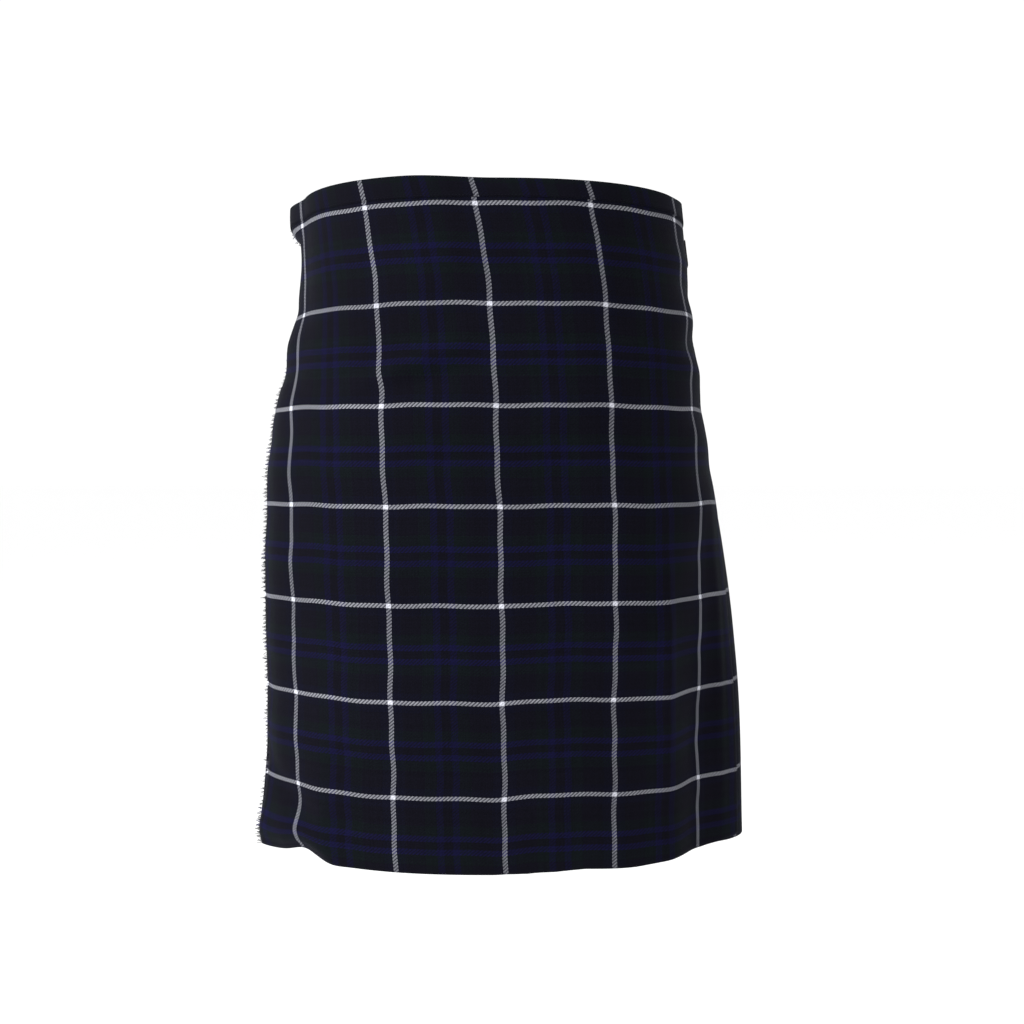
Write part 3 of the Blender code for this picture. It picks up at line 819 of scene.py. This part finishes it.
def hem_height(u, z):
    """The cloth's height after its uneven hem: what is cut off there is shared smoothly over
    the lowest 50 mm."""
    cut = np.interp(u, HEM_CUT[:, 0], HEM_CUT[:, 1]) / 1000
    return z + cut * smooth_step((HEM + 0.050 - z) / 0.050)


def wander(u, z):
    """How far the threads stray: slow waves of under a millimetre, and two places on the front
    where the lengthways threads swing aside by up to 2 mm, one of them only low down."""
    low = smooth_step((-0.33 - z) / 0.12)
    across = (
        0.0005 * np.sin(z * 58 + 1.3) + 0.0004 * np.sin(z * 131 + u * 9 + 0.4)
        + 0.0019 * low * np.exp(-((u - 0.085) / 0.050) ** 2)
        - 0.0014 * np.exp(-((u + 0.100) / 0.040) ** 2)
    )
    down = 0.0005 * np.sin(u * 47 + 0.7) + 0.0003 * np.sin(u * 113 + z * 11 + 2.1)
    return across, down


print("hem cut, mm:", HEM_CUT[:, 1].tolist())

# %% The over apron's grid
ROWS_DOWN = np.linspace(TOP, HEM, 191)[:, None]
FRONT_SHARE = np.linspace(0.0, 1.0, 158)[None, :]
BACK_SHARE = np.linspace(0.0, 1.0, 14)[None, :]


def apron_grid(z):
    """Three runs of columns side by side. Across: (u, lift). Round: a half circle of radius
    layer / 2. Back: (edge - d, -layer). The cloth's own width runs on through all three."""
    radius = 0.5 * layer(z)
    turn_from = APRON_EDGE - radius
    across = -APRON_EDGE + (turn_from + APRON_EDGE) * FRONT_SHARE
    lift = apron_lift(across + lean(z), z)
    angle = np.radians([[60.0, 30.0, 0.0, -30.0, -60.0]])
    turn_cloth = turn_from + radius * (np.pi / 2 - angle)
    behind = (DEEP_TUCK - radius) * BACK_SHARE
    back_r = np.broadcast_to(-2 * radius, behind.shape)
    back_cloth = turn_from + np.pi * radius + behind
    u = np.hstack([across, turn_from + radius * np.cos(angle), turn_from - behind])
    r = np.hstack([lift, -radius + radius * np.sin(angle), back_r])
    return u, r, np.hstack([across, turn_cloth, back_cloth])


apron_u, apron_r, apron_cloth = apron_grid(ROWS_DOWN)
apron_z = hem_height(apron_u, ROWS_DOWN)
apron_points = place(apron_u + lean(apron_z), apron_r, apron_z)
stray_u, stray_z = wander(apron_u, apron_z)
apron_uv = np.stack([apron_cloth + stray_u, apron_z - FIRST_LINE + stray_z], axis=-1)
over_apron = add_cloth("over_apron_cloth", apron_points, apron_uv, kilt_cloth, CLOTH)
belongs(over_apron, "tartan_cloth", "over_apron")


# %% [markdown]
# ## The fringe
# The fringed edge is made by drawing out the lengthways threads, so what is left is the ends
# of the crosswise ones, each in its own colour from the sett. Every pick gets a short yarn: a
# thin tapering tube that droops and curls a little, all worked out as one array.

# %% The yarns
FRINGE_REACH = 0.0072
YARN_SIDES = 4
YARN_RINGS = 5
TUFT = 5                # neighbouring yarns that cling together
FIRST_PICK = TOP - 0.002


def fringe_grid(seed):
    """Yarn i starts on the apron's edge at its pick's height and runs outwards by t * reach.
    It droops by t^2 and closes on the middle of its tuft, curls outwards by t^2, and its
    radius shrinks from root to tip."""
    chance = np.random.default_rng(seed)
    picks = np.arange(FIRST_PICK, HEM + CLOTH / 2, -WEFT_PITCH)
    count = len(picks)
    tuft = np.arange(count) // TUFT
    reach = FRINGE_REACH * chance.uniform(0.6, 1.0, count) * chance.uniform(0.7, 1.0, count)[tuft]
    middle = picks[0] - WEFT_PITCH * (tuft + 0.5) * TUFT
    droop = chance.normal(0.0008, 0.0005, count)[tuft] + 0.7 * (picks - middle)
    curl = chance.normal(0.0020, 0.0011, count)
    radius = chance.uniform(0.00028, 0.00040, count)
    t = np.linspace(0.0, 1.0, YARN_RINGS)[None, :, None]
    angle = np.linspace(0, 2 * np.pi, YARN_SIDES, endpoint=False)[None, None, :]
    z0 = picks[:, None, None]
    thick = radius[:, None, None] * (1.0 - 0.45 * t ** 2)
    wave = 0.0003 * np.sin(t * 9 + 6.3 * chance.random(count)[:, None, None])
    u = -APRON_EDGE + 0.0008 - reach[:, None, None] * t
    z = z0 - droop[:, None, None] * t ** 2 + wave + thick * np.sin(angle)
    r = curl[:, None, None] * t ** 2 + wave + thick * np.cos(angle)
    u, z, r = np.broadcast_arrays(u, z, r)
    edge_z = np.broadcast_to(hem_height(-APRON_EDGE, z0), u.shape)
    lift = apron_lift(-APRON_EDGE + lean(edge_z), edge_z)
    points = place(u + lean(edge_z), lift + r, edge_z, z - z0)
    uv = np.stack([u, np.broadcast_to(edge_z - FIRST_LINE, u.shape)], axis=-1)
    return points, uv


def tube_faces(count, rings, sides):
    """Faces of many closed-round tubes of the same make. Each flat end is cut into faces of four
    corners that share its first point, so a tube has an even number of sides."""
    end = np.array([[0, k, k + 1, k + 2] for k in range(1, sides - 2, 2)])
    far_end = (rings - 1) * sides + end[:, ::-1]
    one = np.vstack([grid_faces(rings, sides, closed_columns=True), end, far_end])
    return (one[None, :, :] + (np.arange(count) * rings * sides)[:, None, None]).reshape(-1, 4)


fringe_points, fringe_uv = fringe_grid(seed=7)
fringe_faces = tube_faces(len(fringe_points), YARN_RINGS, YARN_SIDES)
fringe = add_piece("apron_fringe_yarns", fringe_points, fringe_faces, yarn, fringe_uv)
belongs(fringe, "fringe_yarn", "over_apron_fringe")
print("yarns in the fringe:", len(fringe_points))


# %% [markdown]
# ## The pleats
# Each knife pleat shows one width of cloth, turns under at its fold, goes back one width and
# starts the next. Down to the fell they are stitched flat. Below it each one hangs on its own:
# its fold swings a little and its face bows out, by an amount of its own.

# %% One run of pleats
PLEAT_ROWS = np.linspace(TOP, HEM, 131)[:, None]
SHOWN = 0.027           # how far the pattern moves on from one pleat to the next
PATTERN_START = 0.010


def pleat_profile():
    """(part, depth, corner, cloth) of one pleat: part in pleat widths from its base fold, depth
    in layers, corner, in half layers, the sideways reach of the small half circles, and cloth in
    pleat widths along the cloth from its outer fold."""
    forward = np.linspace(-1.0, 1.0, 14)
    angle = np.radians([55.0, 20.0, -20.0, -55.0])
    back = np.linspace(1.0, 0.0, 8)
    part = np.concatenate([forward, np.full(4, 1.0), back, np.full(4, 0.0)])
    depth = np.concatenate([
        -2 * (1 - forward), -0.5 + 0.5 * np.sin(angle), -1 - 2 * (1 - back),
        -3.5 + 0.5 * np.sin(angle),
    ])
    corner = np.concatenate([
        -smooth_step((forward - 0.9) / 0.1) + smooth_step((-0.9 - forward) / 0.1),
        np.cos(angle) - 1, -smooth_step((back - 0.9) / 0.1) + smooth_step((0.1 - back) / 0.1),
        1 - np.cos(angle),
    ])
    cloth = np.where(np.arange(len(part)) < 16, part - 1, 1 - part)
    return part, depth, corner, cloth


def pleat_grid(first, last, seed):
    """For every pleat k in the run: s = fold k + part * width + corner, and r = depth * layer,
    to which the free part adds swing (sideways) and lift and bow (outwards)."""
    profile = np.array(pleat_profile())
    k = np.repeat(np.arange(first, last), profile.shape[1])[None, :]
    part, depth, corner, cloth = np.tile(profile, last - first)[:, None, :]
    chance = np.random.default_rng(seed)
    swing = chance.normal(0.0, 0.0011, PLEATS)[k]
    lift = chance.uniform(0.0006, 0.0034, PLEATS)[k]
    sway = chance.uniform(0, 6.3, PLEATS)[k]
    z = PLEAT_ROWS
    free = smooth_step((FELL - z) / 0.26)
    outer = np.clip(part, 0.0, 1.0)
    width = pleat_width(z)
    s = pleat_edge(k, z) + part * width + corner * 0.5 * layer(z)
    s = s + swing * free * outer * (1 + 0.5 * np.sin(z * 9 + sway))
    r = depth * layer(z) + free * lift * smooth_step(outer) * (1 + 0.4 * np.sin(z * 13 + sway))
    r = r + free * 0.0012 * np.sin(np.pi * outer)
    u = SHOWN * (k + 1) + cloth * width + PATTERN_START
    stray_u, stray_z = wander(k * 0.11 + part * 0.02, z)
    uv = np.stack(np.broadcast_arrays(u + stray_u, z - FIRST_LINE + stray_z), axis=-1)
    return place(s, r, z), uv


RUNS = {"left": (0, 7), "centre": (7, 15), "right": (15, PLEATS)}
pleated = {}
for word, (first, last) in RUNS.items():
    points, uv = pleat_grid(first, last, seed=11)
    pleated[word] = add_cloth(f"pleats_{word}_cloth", points, uv, kilt_cloth, CLOTH)
    belongs(pleated[word], "tartan_cloth", f"pleats_{word}")

# %% [markdown]
# ## The under apron
# The other end of the strip. It starts beneath the last pleat and crosses the front behind
# the over apron, so only its hem shows, from below. It is a plain single layer.

# %% The under apron's grid
UNDER_ROWS = np.linspace(TOP, HEM, 116)[:, None]
UNDER_SHORT = 0.012     # how far it ends short of the over apron's fold
UNDER_PATTERN = 0.031   # how far its pattern is shifted


def between(start, end, columns):
    """Columns at even steps from start to end."""
    return start + (end - start) * np.linspace(0.0, 1.0, columns)[None, :]


def under_columns(z, columns=120):
    """From inside the last pleat to just short of the over apron's fold."""
    start = last_fold(z) - around_length(z) + 0.6 * pleat_width(z)
    return between(start, right_fold(z) - UNDER_SHORT, columns)


def under_grid(z):
    """Two runs of columns: down from the last pleat's root, r = -2 layer (1 - part), then on
    across the front at r = -under_depth."""
    part = np.linspace(-1.0, 0.3, 12)[None, :]
    root = last_fold(z) - around_length(z) + part * pleat_width(z)
    root_r = -2 * layer(z) * (1 - np.minimum(part, 0.0))
    front = under_columns(z, 92)
    return np.hstack([root, front]), np.hstack([root_r, -under_depth(front, z)])


under_s, under_r = under_grid(UNDER_ROWS)
under_points = place(under_s, under_r, UNDER_ROWS)
stray_u, stray_z = wander(under_s + 0.3, UNDER_ROWS)
under_u = under_s - lean(UNDER_ROWS) + UNDER_PATTERN + stray_u
under_uv = np.stack([under_u, UNDER_ROWS - FIRST_LINE + stray_z], axis=-1)
under_apron = add_cloth("under_apron_cloth", under_points, under_uv, kilt_cloth, CLOTH)
belongs(under_apron, "tartan_cloth", "under_apron")


# %% [markdown]
# ## The waistband
# A narrow strip of the same tartan, folded over the top edge and sewn down inside and out. It
# was cut on its own, so its pattern doesn't quite meet the apron's: the white lines jog at
# its lower edge. Each of its three lengths is one grid carried over the top edge.

# %% A strip folded over an edge
BAND_OUT = CLOTH / 2 + 0.0003 + BAND_CLOTH / 2
BAND_TOP = TOP + 0.0003
LEG_POINTS = 7


def band_grid(s_at, outer_at, inner_at):
    """The outside leg from its foot up, a half ellipse over the top, and the inside leg down.
    At angle a on the top: r = middle + half cos a, and z = top + 0.4 mm sin a."""
    leg = np.linspace(BAND_FOOT, BAND_TOP, LEG_POINTS)
    angle = np.radians([30.0, 60.0, 90.0, 120.0, 150.0])
    z = np.concatenate([leg, np.full(5, BAND_TOP), leg[::-1]])[:, None]
    rise = np.concatenate([np.zeros(LEG_POINTS), 0.0004 * np.sin(angle), np.zeros(LEG_POINTS)])
    side = np.concatenate([np.ones(LEG_POINTS), np.cos(angle), -np.ones(LEG_POINTS)])[:, None]
    s = s_at(z)
    outer, inner = outer_at(s, z), inner_at(s, z)
    middle, half = (outer + inner) / 2, (outer - inner) / 2
    pinch = 0.00025 * smooth_step((BAND_FOOT + 0.003 - z) / 0.003)
    points = place(s, middle + (half - pinch) * side, z, rise[:, None])
    run = np.concatenate([[0.0], np.cumsum(np.full(len(z) - 1, leg[1] - leg[0]))])
    down = leg[0] - BAND_TOP + run[:, None]
    return points[::-1], s[::-1], np.broadcast_to(down, s.shape)[::-1]


def add_band(name, node, s_at, outer_at, inner_at):
    """One length of the band. Its pattern is shifted a little against the apron's, and more
    towards its foot."""
    points, s, down = band_grid(s_at, outer_at, inner_at)
    shift = 0.0052 * np.clip(-down / (BAND_TOP - BAND_FOOT), 0.0, 1.0) - 0.0022
    u = s - lean(TOP - 0.010) - shift
    v = down + 0.0293 + 0.0006 * np.sin(s * 60)
    piece = add_cloth(name, points, np.stack([u, v], axis=-1), band_cloth, BAND_CLOTH)
    return belongs(piece, "waistband_cloth", node)


def front_columns(z):
    """From edge to edge of the over apron."""
    return between(fringed_edge(z), right_fold(z) + CLOTH / 2, 170)


def back_columns(z):
    """Over all the pleats, starting clear of the front length."""
    end = CLOTH / 2
    return between(pleat_edge(0, z) + end + 0.0003, pleat_edge(PLEATS, z) + end, 220)


def front_inner(s, z):
    """Behind the over apron, and behind its tuck and the stitched pleats where they are."""
    tucks = smooth_step((s - right_fold(z) + DEEP_TUCK + 0.018) / 0.014)
    return apron_lift(s, z) - BAND_OUT - 4 * layer(z) * tucks


band_front = add_band(
    "waistband_front_cloth", "waistband_front", front_columns,
    lambda s, z: apron_lift(s, z) + BAND_OUT, front_inner,
)
band_back = add_band(
    "waistband_back_cloth", "waistband_back", back_columns,
    lambda s, z: BAND_OUT, lambda s, z: -BAND_OUT - 4 * layer(z),
)
band_under = add_band(
    "waistband_under_cloth", "waistband_under", under_columns,
    lambda s, z: -under_depth(s, z) + BAND_OUT, lambda s, z: -under_depth(s, z) - BAND_OUT,
)


# %% [markdown]
# ## Straps, tabs, buckles
# The straps come out from beneath the apron's edges, pass through the buckles and lie on the
# back. Each strap is a flat rounded section carried along the ring, narrowed to a point at
# its tip. The buckles are bent from round wire, and each tongue rests on its frame.

# %% Sizes of the fastenings
LEATHER = 0.0020
GAP = 0.0003            # the least room between two pieces
STRAP_WIDTH = 0.026
STRAP_HEIGHT = -0.013
POINT_LENGTH = 0.018    # of the strap's pointed tip
SKIVED = 0.016          # how much of its start is thinned
TAB_LENGTH = 0.036
BUCKLE_LENGTH = 0.028
BUCKLE_WIRE = 0.0024
PAST_BUCKLE = BUCKLE_LENGTH + 2 * BUCKLE_WIRE   # from the near bar to the tab
BUCKLE_CORNER = 0.004
TONGUE_WIRE = 0.0018
UNDER_LEATHER = 6 * GAP
ON_CLOTH = CLOTH / 2 + UNDER_LEATHER + LEATHER / 2
FAR_BAR = CLOTH / 2 + UNDER_LEATHER + BUCKLE_WIRE / 2
NEAR_BAR = ON_CLOTH + LEATHER / 2 + 4 * GAP + BUCKLE_WIRE / 2
OVER_BAR = FAR_BAR + BUCKLE_WIRE / 2 + 3 * GAP + LEATHER / 2
left_start = float(right_fold(STRAP_HEIGHT)) + CLOTH / 2 + GAP + 0.0012
right_start = float(fringed_edge(STRAP_HEIGHT)) + 0.010
Side = namedtuple("Side", "start bar tip way")      # s of the strap's start, bar and tip
SIDES = {
    "left": Side(left_start, left_start + 0.040, left_start + 0.122, 1.0),
    "right": Side(right_start, right_start - 0.060, right_start - 0.142, -1.0),
}
print("straps start at", round(left_start, 4), "and", round(right_start, 4))


# %% A flat section carried along the ring
def join_doubles(piece):
    """Merges points that lie together at poles and turns every face outwards."""
    work = bmesh.new()
    work.from_mesh(piece.data)
    bmesh.ops.remove_doubles(work, verts=work.verts, dist=1e-6)
    bmesh.ops.recalc_face_normals(work, faces=work.faces)
    work.to_mesh(piece.data)
    work.free()
    piece.data.shade_smooth()


def strap_grid(s, r, half_width, thick, from_hole):
    """Around each station a rounded section: height = half width * sign(cos) |cos|^0.5 and
    thickness = half thick * sign(sin) |sin|^0.5. Both ends close to a point. The UV runs from
    the first hole."""
    angle = np.linspace(0, 2 * np.pi, 28, endpoint=False)[None, :]
    high = np.sign(np.cos(angle)) * np.abs(np.cos(angle)) ** 0.5
    out = np.sign(np.sin(angle)) * np.abs(np.sin(angle)) ** 0.5
    full = np.ones(len(s))
    full[[0, -1]] = 0.0
    full[[1, -2]] = 0.75
    columns = np.broadcast_arrays(s, r, half_width * full, thick * full, from_hole)
    s, r, half_width, thick, from_hole = (values[:, None] for values in columns)
    z = STRAP_HEIGHT + half_width * high
    uv = np.stack(np.broadcast_arrays(from_hole, z - STRAP_HEIGHT), axis=-1)
    return place(s, r + thick / 2 * out, z), uv


def add_strap(name, node, s, r, half_width, thick, from_hole):
    """A closed strap or tab in leather."""
    points, uv = strap_grid(s, r, half_width, thick, from_hole)
    faces = grid_faces(*points.shape[:2], closed_columns=True)
    piece = add_piece(name, points, faces, leather, uv)
    join_doubles(piece)
    return belongs(piece, "strap_leather", node)


def strap_half_width(t, length):
    """Full until the point begins, then an even curve in: half (1 - (1 - near)^2.2)^0.75, near
    being the share of the point's length that is left."""
    near = np.clip((length - t) / POINT_LENGTH, 0.0, 1.0)
    return np.maximum(0.5 * STRAP_WIDTH * (1 - (1 - near) ** 2.2) ** 0.75, 0.0006)


def strap_out(side, t):
    """How far the strap's middle stands off, t along it: skived thin and close to the cloth
    where it starts, then on the cloth, then up over the buckle's near bar."""
    bar_at = abs(side.bar - side.start)
    start = 0.0010 * (1 - smooth_step(t / SKIVED))
    return ON_CLOTH - start + (OVER_BAR - ON_CLOTH) * smooth_step((t - bar_at - 0.004) / 0.018)


def strap_thick(t):
    """The leather's thickness, a little over half of it where it is skived."""
    return LEATHER * (0.55 + 0.45 * smooth_step(t / SKIVED))


def stations(length, count):
    """Steps along a strap, close together at its two rounded ends."""
    middle = np.linspace(0.001, length - 0.001, count)
    return np.concatenate([[0.0, 0.0004], middle, [length - 0.0004, length]])


NO_HOLES = 1.0          # this far from the first hole there is none
for word, side in SIDES.items():
    length = abs(side.tip - side.start)
    t = stations(length, 66)
    from_hole = t - abs(side.bar - side.start) + 0.002
    add_strap(
        f"strap_{word}_leather", f"strap_{word}", side.start + side.way * t, strap_out(side, t),
        strap_half_width(t, length), strap_thick(t), from_hole,
    )
    t = stations(TAB_LENGTH, 20)
    s = side.bar + side.way * (PAST_BUCKLE + t)
    add_strap(
        f"buckle_tab_{word}_leather", f"buckle_tab_{word}", s, ON_CLOTH, STRAP_WIDTH / 2,
        LEATHER, t + NO_HOLES,
    )


# %% Round wire bent along a path
def wire_grid(centres, first_way, second_way, radius, sides=12):
    """Around each centre: centre + radius (first way * cos a + second way * sin a)."""
    angle = np.linspace(0, 2 * np.pi, sides, endpoint=False)[None, :, None]
    radius = np.asarray(radius, float).reshape(-1, 1, 1)
    spread = first_way[:, None, :] * np.cos(angle) + second_way[:, None, :] * np.sin(angle)
    return centres[:, None, :] + radius * spread


def buckle_plane(side):
    """(centre, along, up, half length, half width) of the frame, tilted so that its near bar is
    on the strap and its far bar is under it."""
    far = side.bar + side.way * BUCKLE_LENGTH
    ends = place([side.bar, far], [NEAR_BAR, FAR_BAR], STRAP_HEIGHT)
    along = ends[1] - ends[0]
    half_long = np.linalg.norm(along) / 2
    along = along / (2 * half_long)
    half_wide = STRAP_WIDTH / 2 + BUCKLE_WIRE / 2 + 0.0012
    middle = side.bar + side.way * BUCKLE_LENGTH / 2
    high, low = place(middle, 0.0, [STRAP_HEIGHT + half_wide, STRAP_HEIGHT - half_wide])
    up = high - low
    up = up - up @ along * along
    return ends.mean(axis=0), along, up / np.linalg.norm(up), half_long, half_wide


def buckle_path(side):
    """The frame's centre line, the outward direction at each of its points, and the way the
    frame faces. The line is four quarter circles joined by straight bars."""
    centre, along, up, half_long, half_wide = buckle_plane(side)
    corner = np.arange(4)[:, None]
    angle = (np.linspace(0, 90, 8)[None, :] + 90 * corner) * np.pi / 180
    a = np.array([[1], [-1], [-1], [1]]) * (half_long - BUCKLE_CORNER)
    b = np.array([[1], [1], [-1], [-1]]) * (half_wide - BUCKLE_CORNER)
    a, b = a + BUCKLE_CORNER * np.cos(angle), b + BUCKLE_CORNER * np.sin(angle)
    a, b, angle = a.reshape(-1, 1), b.reshape(-1, 1), angle.reshape(-1, 1)
    outward = np.cos(angle) * along + np.sin(angle) * up
    return centre + a * along + b * up, outward, np.cross(along, up)


def tongue_grid(side):
    """From beyond the near bar back over it, a wire that rises by its own thickness and is
    sqrt(1 - (2t - 1)^8) thick along it, so that both ends are round."""
    t = np.linspace(0.0, 1.0, 16)
    s = side.bar + side.way * (0.013 - 0.0150 * t)
    on_bar = NEAR_BAR + BUCKLE_WIRE / 2 + GAP + TONGUE_WIRE / 2
    centres = place(s, on_bar - TONGUE_WIRE * (1 - smooth_step(t * 1.2)), STRAP_HEIGHT)
    forward = np.gradient(centres, axis=0)
    upward = np.broadcast_to([0.0, 0.0, 1.0], forward.shape)
    sideways = np.cross(forward, upward)
    sideways /= np.linalg.norm(sideways, axis=1)[:, None]
    taper = TONGUE_WIRE / 2 * np.sqrt(np.clip(1 - (2 * t - 1) ** 8, 0.0, 1.0)) * (1 - 0.25 * t)
    return wire_grid(centres, upward, sideways, taper)


def add_wire(name, node, points, closed_rows):
    """A piece of bent wire in metal, closed on itself or with two ends."""
    faces = grid_faces(*points.shape[:2], closed_rows=closed_rows, closed_columns=True)
    piece = add_piece(name, points, faces, metal)
    join_doubles(piece)
    belongs(piece, "buckle_metal", node)


for word, side in SIDES.items():
    centres, outward, face_way = buckle_path(side)
    face_way = np.broadcast_to(face_way, outward.shape)
    points = wire_grid(centres, outward, face_way, BUCKLE_WIRE / 2)
    add_wire(f"buckle_{word}_frame", f"buckle_{word}", points, closed_rows=True)
    add_wire(
        f"buckle_tongue_{word}_wire", f"buckle_tongue_{word}", tongue_grid(side), closed_rows=False
    )


# %% [markdown]
# ## Stitches
# Rows of machine stitches hold the band's lower edge. Heavier ones go round the buckle tabs
# and along both edges of each strap. Each stitch is a small rounded bead lying along its seam,
# made with all the others as one array.

# %% Rows of stitches
def stitches(rows, length, thick):
    """For each stitch, (s, z) and a way along (ds, dz): rings along its length whose radius
    follows sqrt(1 - x^2), and whose height above the cloth is half buried."""
    s, r, z, ds, dz = (np.concatenate(part)[:, None, None] for part in zip(*rows))
    x = np.array([-0.96, -0.6, 0.0, 0.6, 0.96])[None, :, None]
    angle = np.linspace(0, 2 * np.pi, 6, endpoint=False)[None, None, :]
    fat = thick * np.sqrt(1 - x ** 2 * 0.9)
    side, along = fat * np.cos(angle), length / 2 * x
    out = r + 0.5 * fat * np.sin(angle)
    points = place(s + ds * along - dz * side, out, z + dz * along + ds * side)
    return points, tube_faces(len(points), x.size, angle.size)


STITCH_PITCH = 0.0030
LEVEL, UPRIGHT = (1.0, 0.0), (0.0, 1.0)
IN_FROM_END = 0.004


def stitch_row(s, r, z, way):
    """(s, r, z) of every stitch of one row, and the way its stitches lie."""
    return np.broadcast_arrays(s, r, z, *way)


def add_stitches(name, slot, rows, length, thick):
    """All the stitches of these rows as one piece."""
    points, faces = stitches(rows, length, thick)
    return belongs(add_piece(name, points, faces, thread), slot)


foot = BAND_FOOT + 0.0016
ON_BAND = BAND_OUT + BAND_CLOTH / 2
s = np.arange(float(fringed_edge(foot)) + 0.003, float(right_fold(foot)) - 0.001, STITCH_PITCH)
row = stitch_row(s, apron_lift(s, foot) + ON_BAND, foot, LEVEL)
front_stitches = add_stitches("band_front_stitches", "waistband_cloth", [row], 0.0019, 0.00018)
start, end = float(pleat_edge(0, foot)) + 0.004, float(pleat_edge(PLEATS, foot)) - 0.002
row = stitch_row(np.arange(start, end, STITCH_PITCH), ON_BAND, foot, LEVEL)
back_stitches = add_stitches("band_back_stitches", "waistband_cloth", [row], 0.0019, 0.00018)

# %% Stitches in the leather
ON_TAB = ON_CLOTH + LEATHER / 2
rows = []
for side in SIDES.values():
    near = side.bar + side.way * PAST_BUCKLE
    low, high = sorted((near + side.way * IN_FROM_END, near + side.way * 0.0335))
    s = np.arange(low, high, STITCH_PITCH)
    rows += [stitch_row(s, ON_TAB, STRAP_HEIGHT + up, LEVEL) for up in (0.0105, -0.0105)]
    z = np.arange(STRAP_HEIGHT - 0.0090, STRAP_HEIGHT + 0.0095, STITCH_PITCH)
    rows += [stitch_row(near + side.way * on, ON_TAB, z, UPRIGHT) for on in (IN_FROM_END, 0.0330)]
for side in SIDES.values():
    t = np.arange(IN_FROM_END, abs(side.tip - side.start) - POINT_LENGTH, STITCH_PITCH)
    s, out = side.start + side.way * t, strap_out(side, t) + strap_thick(t) / 2
    rows += [stitch_row(s, out, STRAP_HEIGHT + up, LEVEL) for up in (0.0108, -0.0108)]
add_stitches("tab_stitches", "strap_leather", rows, 0.0022, 0.00028)


# %% [markdown]
# ## How much cloth the pleats take
# The pleats take three widths of cloth for each width that shows.

# %% [markdown]
# ## The room, the light and the camera
# The kilt is shown at the height where a wearer holds it, above a plain pale floor. One large
# soft light comes from the front on the left, a weaker one fills from the right, and the pale
# surroundings light the rest.

# %% Floor
FLOOR_HALF = 40.0
FLOOR_HEIGHT = -1.05
corners = np.array([[-1, -1, 0], [1, -1, 0], [1, 1, 0], [-1, 1, 0]]) * FLOOR_HALF
corners[:, 2] = FLOOR_HEIGHT
floor_finish, floor_tree, floor_shader = new_material("pale_floor")
set_inputs(
    floor_tree, floor_shader, Base_Color=(0.94, 0.94, 0.94, 1.0), Roughness=0.9,
    Specular_IOR_Level=0.1,
)
floor = add_piece("pale_floor", corners, np.array([[0, 1, 2, 3]]), floor_finish)
print("floor at", FLOOR_HEIGHT)

# %% Light
world = bpy.data.worlds.new("studio")
bpy.context.scene.world = world
world.use_nodes = True
sky = world.node_tree.nodes["Background"]
set_inputs(world.node_tree, sky, Color=(1.0, 1.0, 1.0, 1.0), Strength=1.06)
bpy.context.scene.view_settings.view_transform = "Standard"


def add_soft_light(name, where, aim, size, power):
    """A square light that faces its aim."""
    lamp = bpy.data.lights.new(name, "AREA")
    lamp.size = size
    lamp.energy = power
    made = bpy.data.objects.new(name, lamp)
    made.location = where
    away = np.subtract(where, aim)
    tilt = np.arctan2(np.hypot(away[0], away[1]), away[2])
    made.rotation_euler = (tilt, 0.0, np.arctan2(away[1], away[0]) + np.pi / 2)
    bpy.context.scene.collection.objects.link(made)


add_soft_light("key", (-2.4, -1.4, 0.6), (0, 0, -0.25), 1.2, 104)
add_soft_light("fill", (1.9, -1.8, 0.1), (0, 0, -0.3), 1.5, 5)

# %% Camera: about a metre in front, at hip height, looking slightly down
LOOKS_DOWN = 0.0457     # radians
camera = bpy.data.cameras.new("camera")
camera.sensor_width = 36.0
camera.lens = 36.9
view = bpy.data.objects.new("camera", camera)
view.location = (0.019, -1.043, -0.216)
view.rotation_euler = (np.pi / 2 - LOOKS_DOWN, 0.0, 0.0)
bpy.context.scene.collection.objects.link(view)
bpy.context.scene.camera = view
print("camera at", tuple(round(v, 3) for v in view.location))
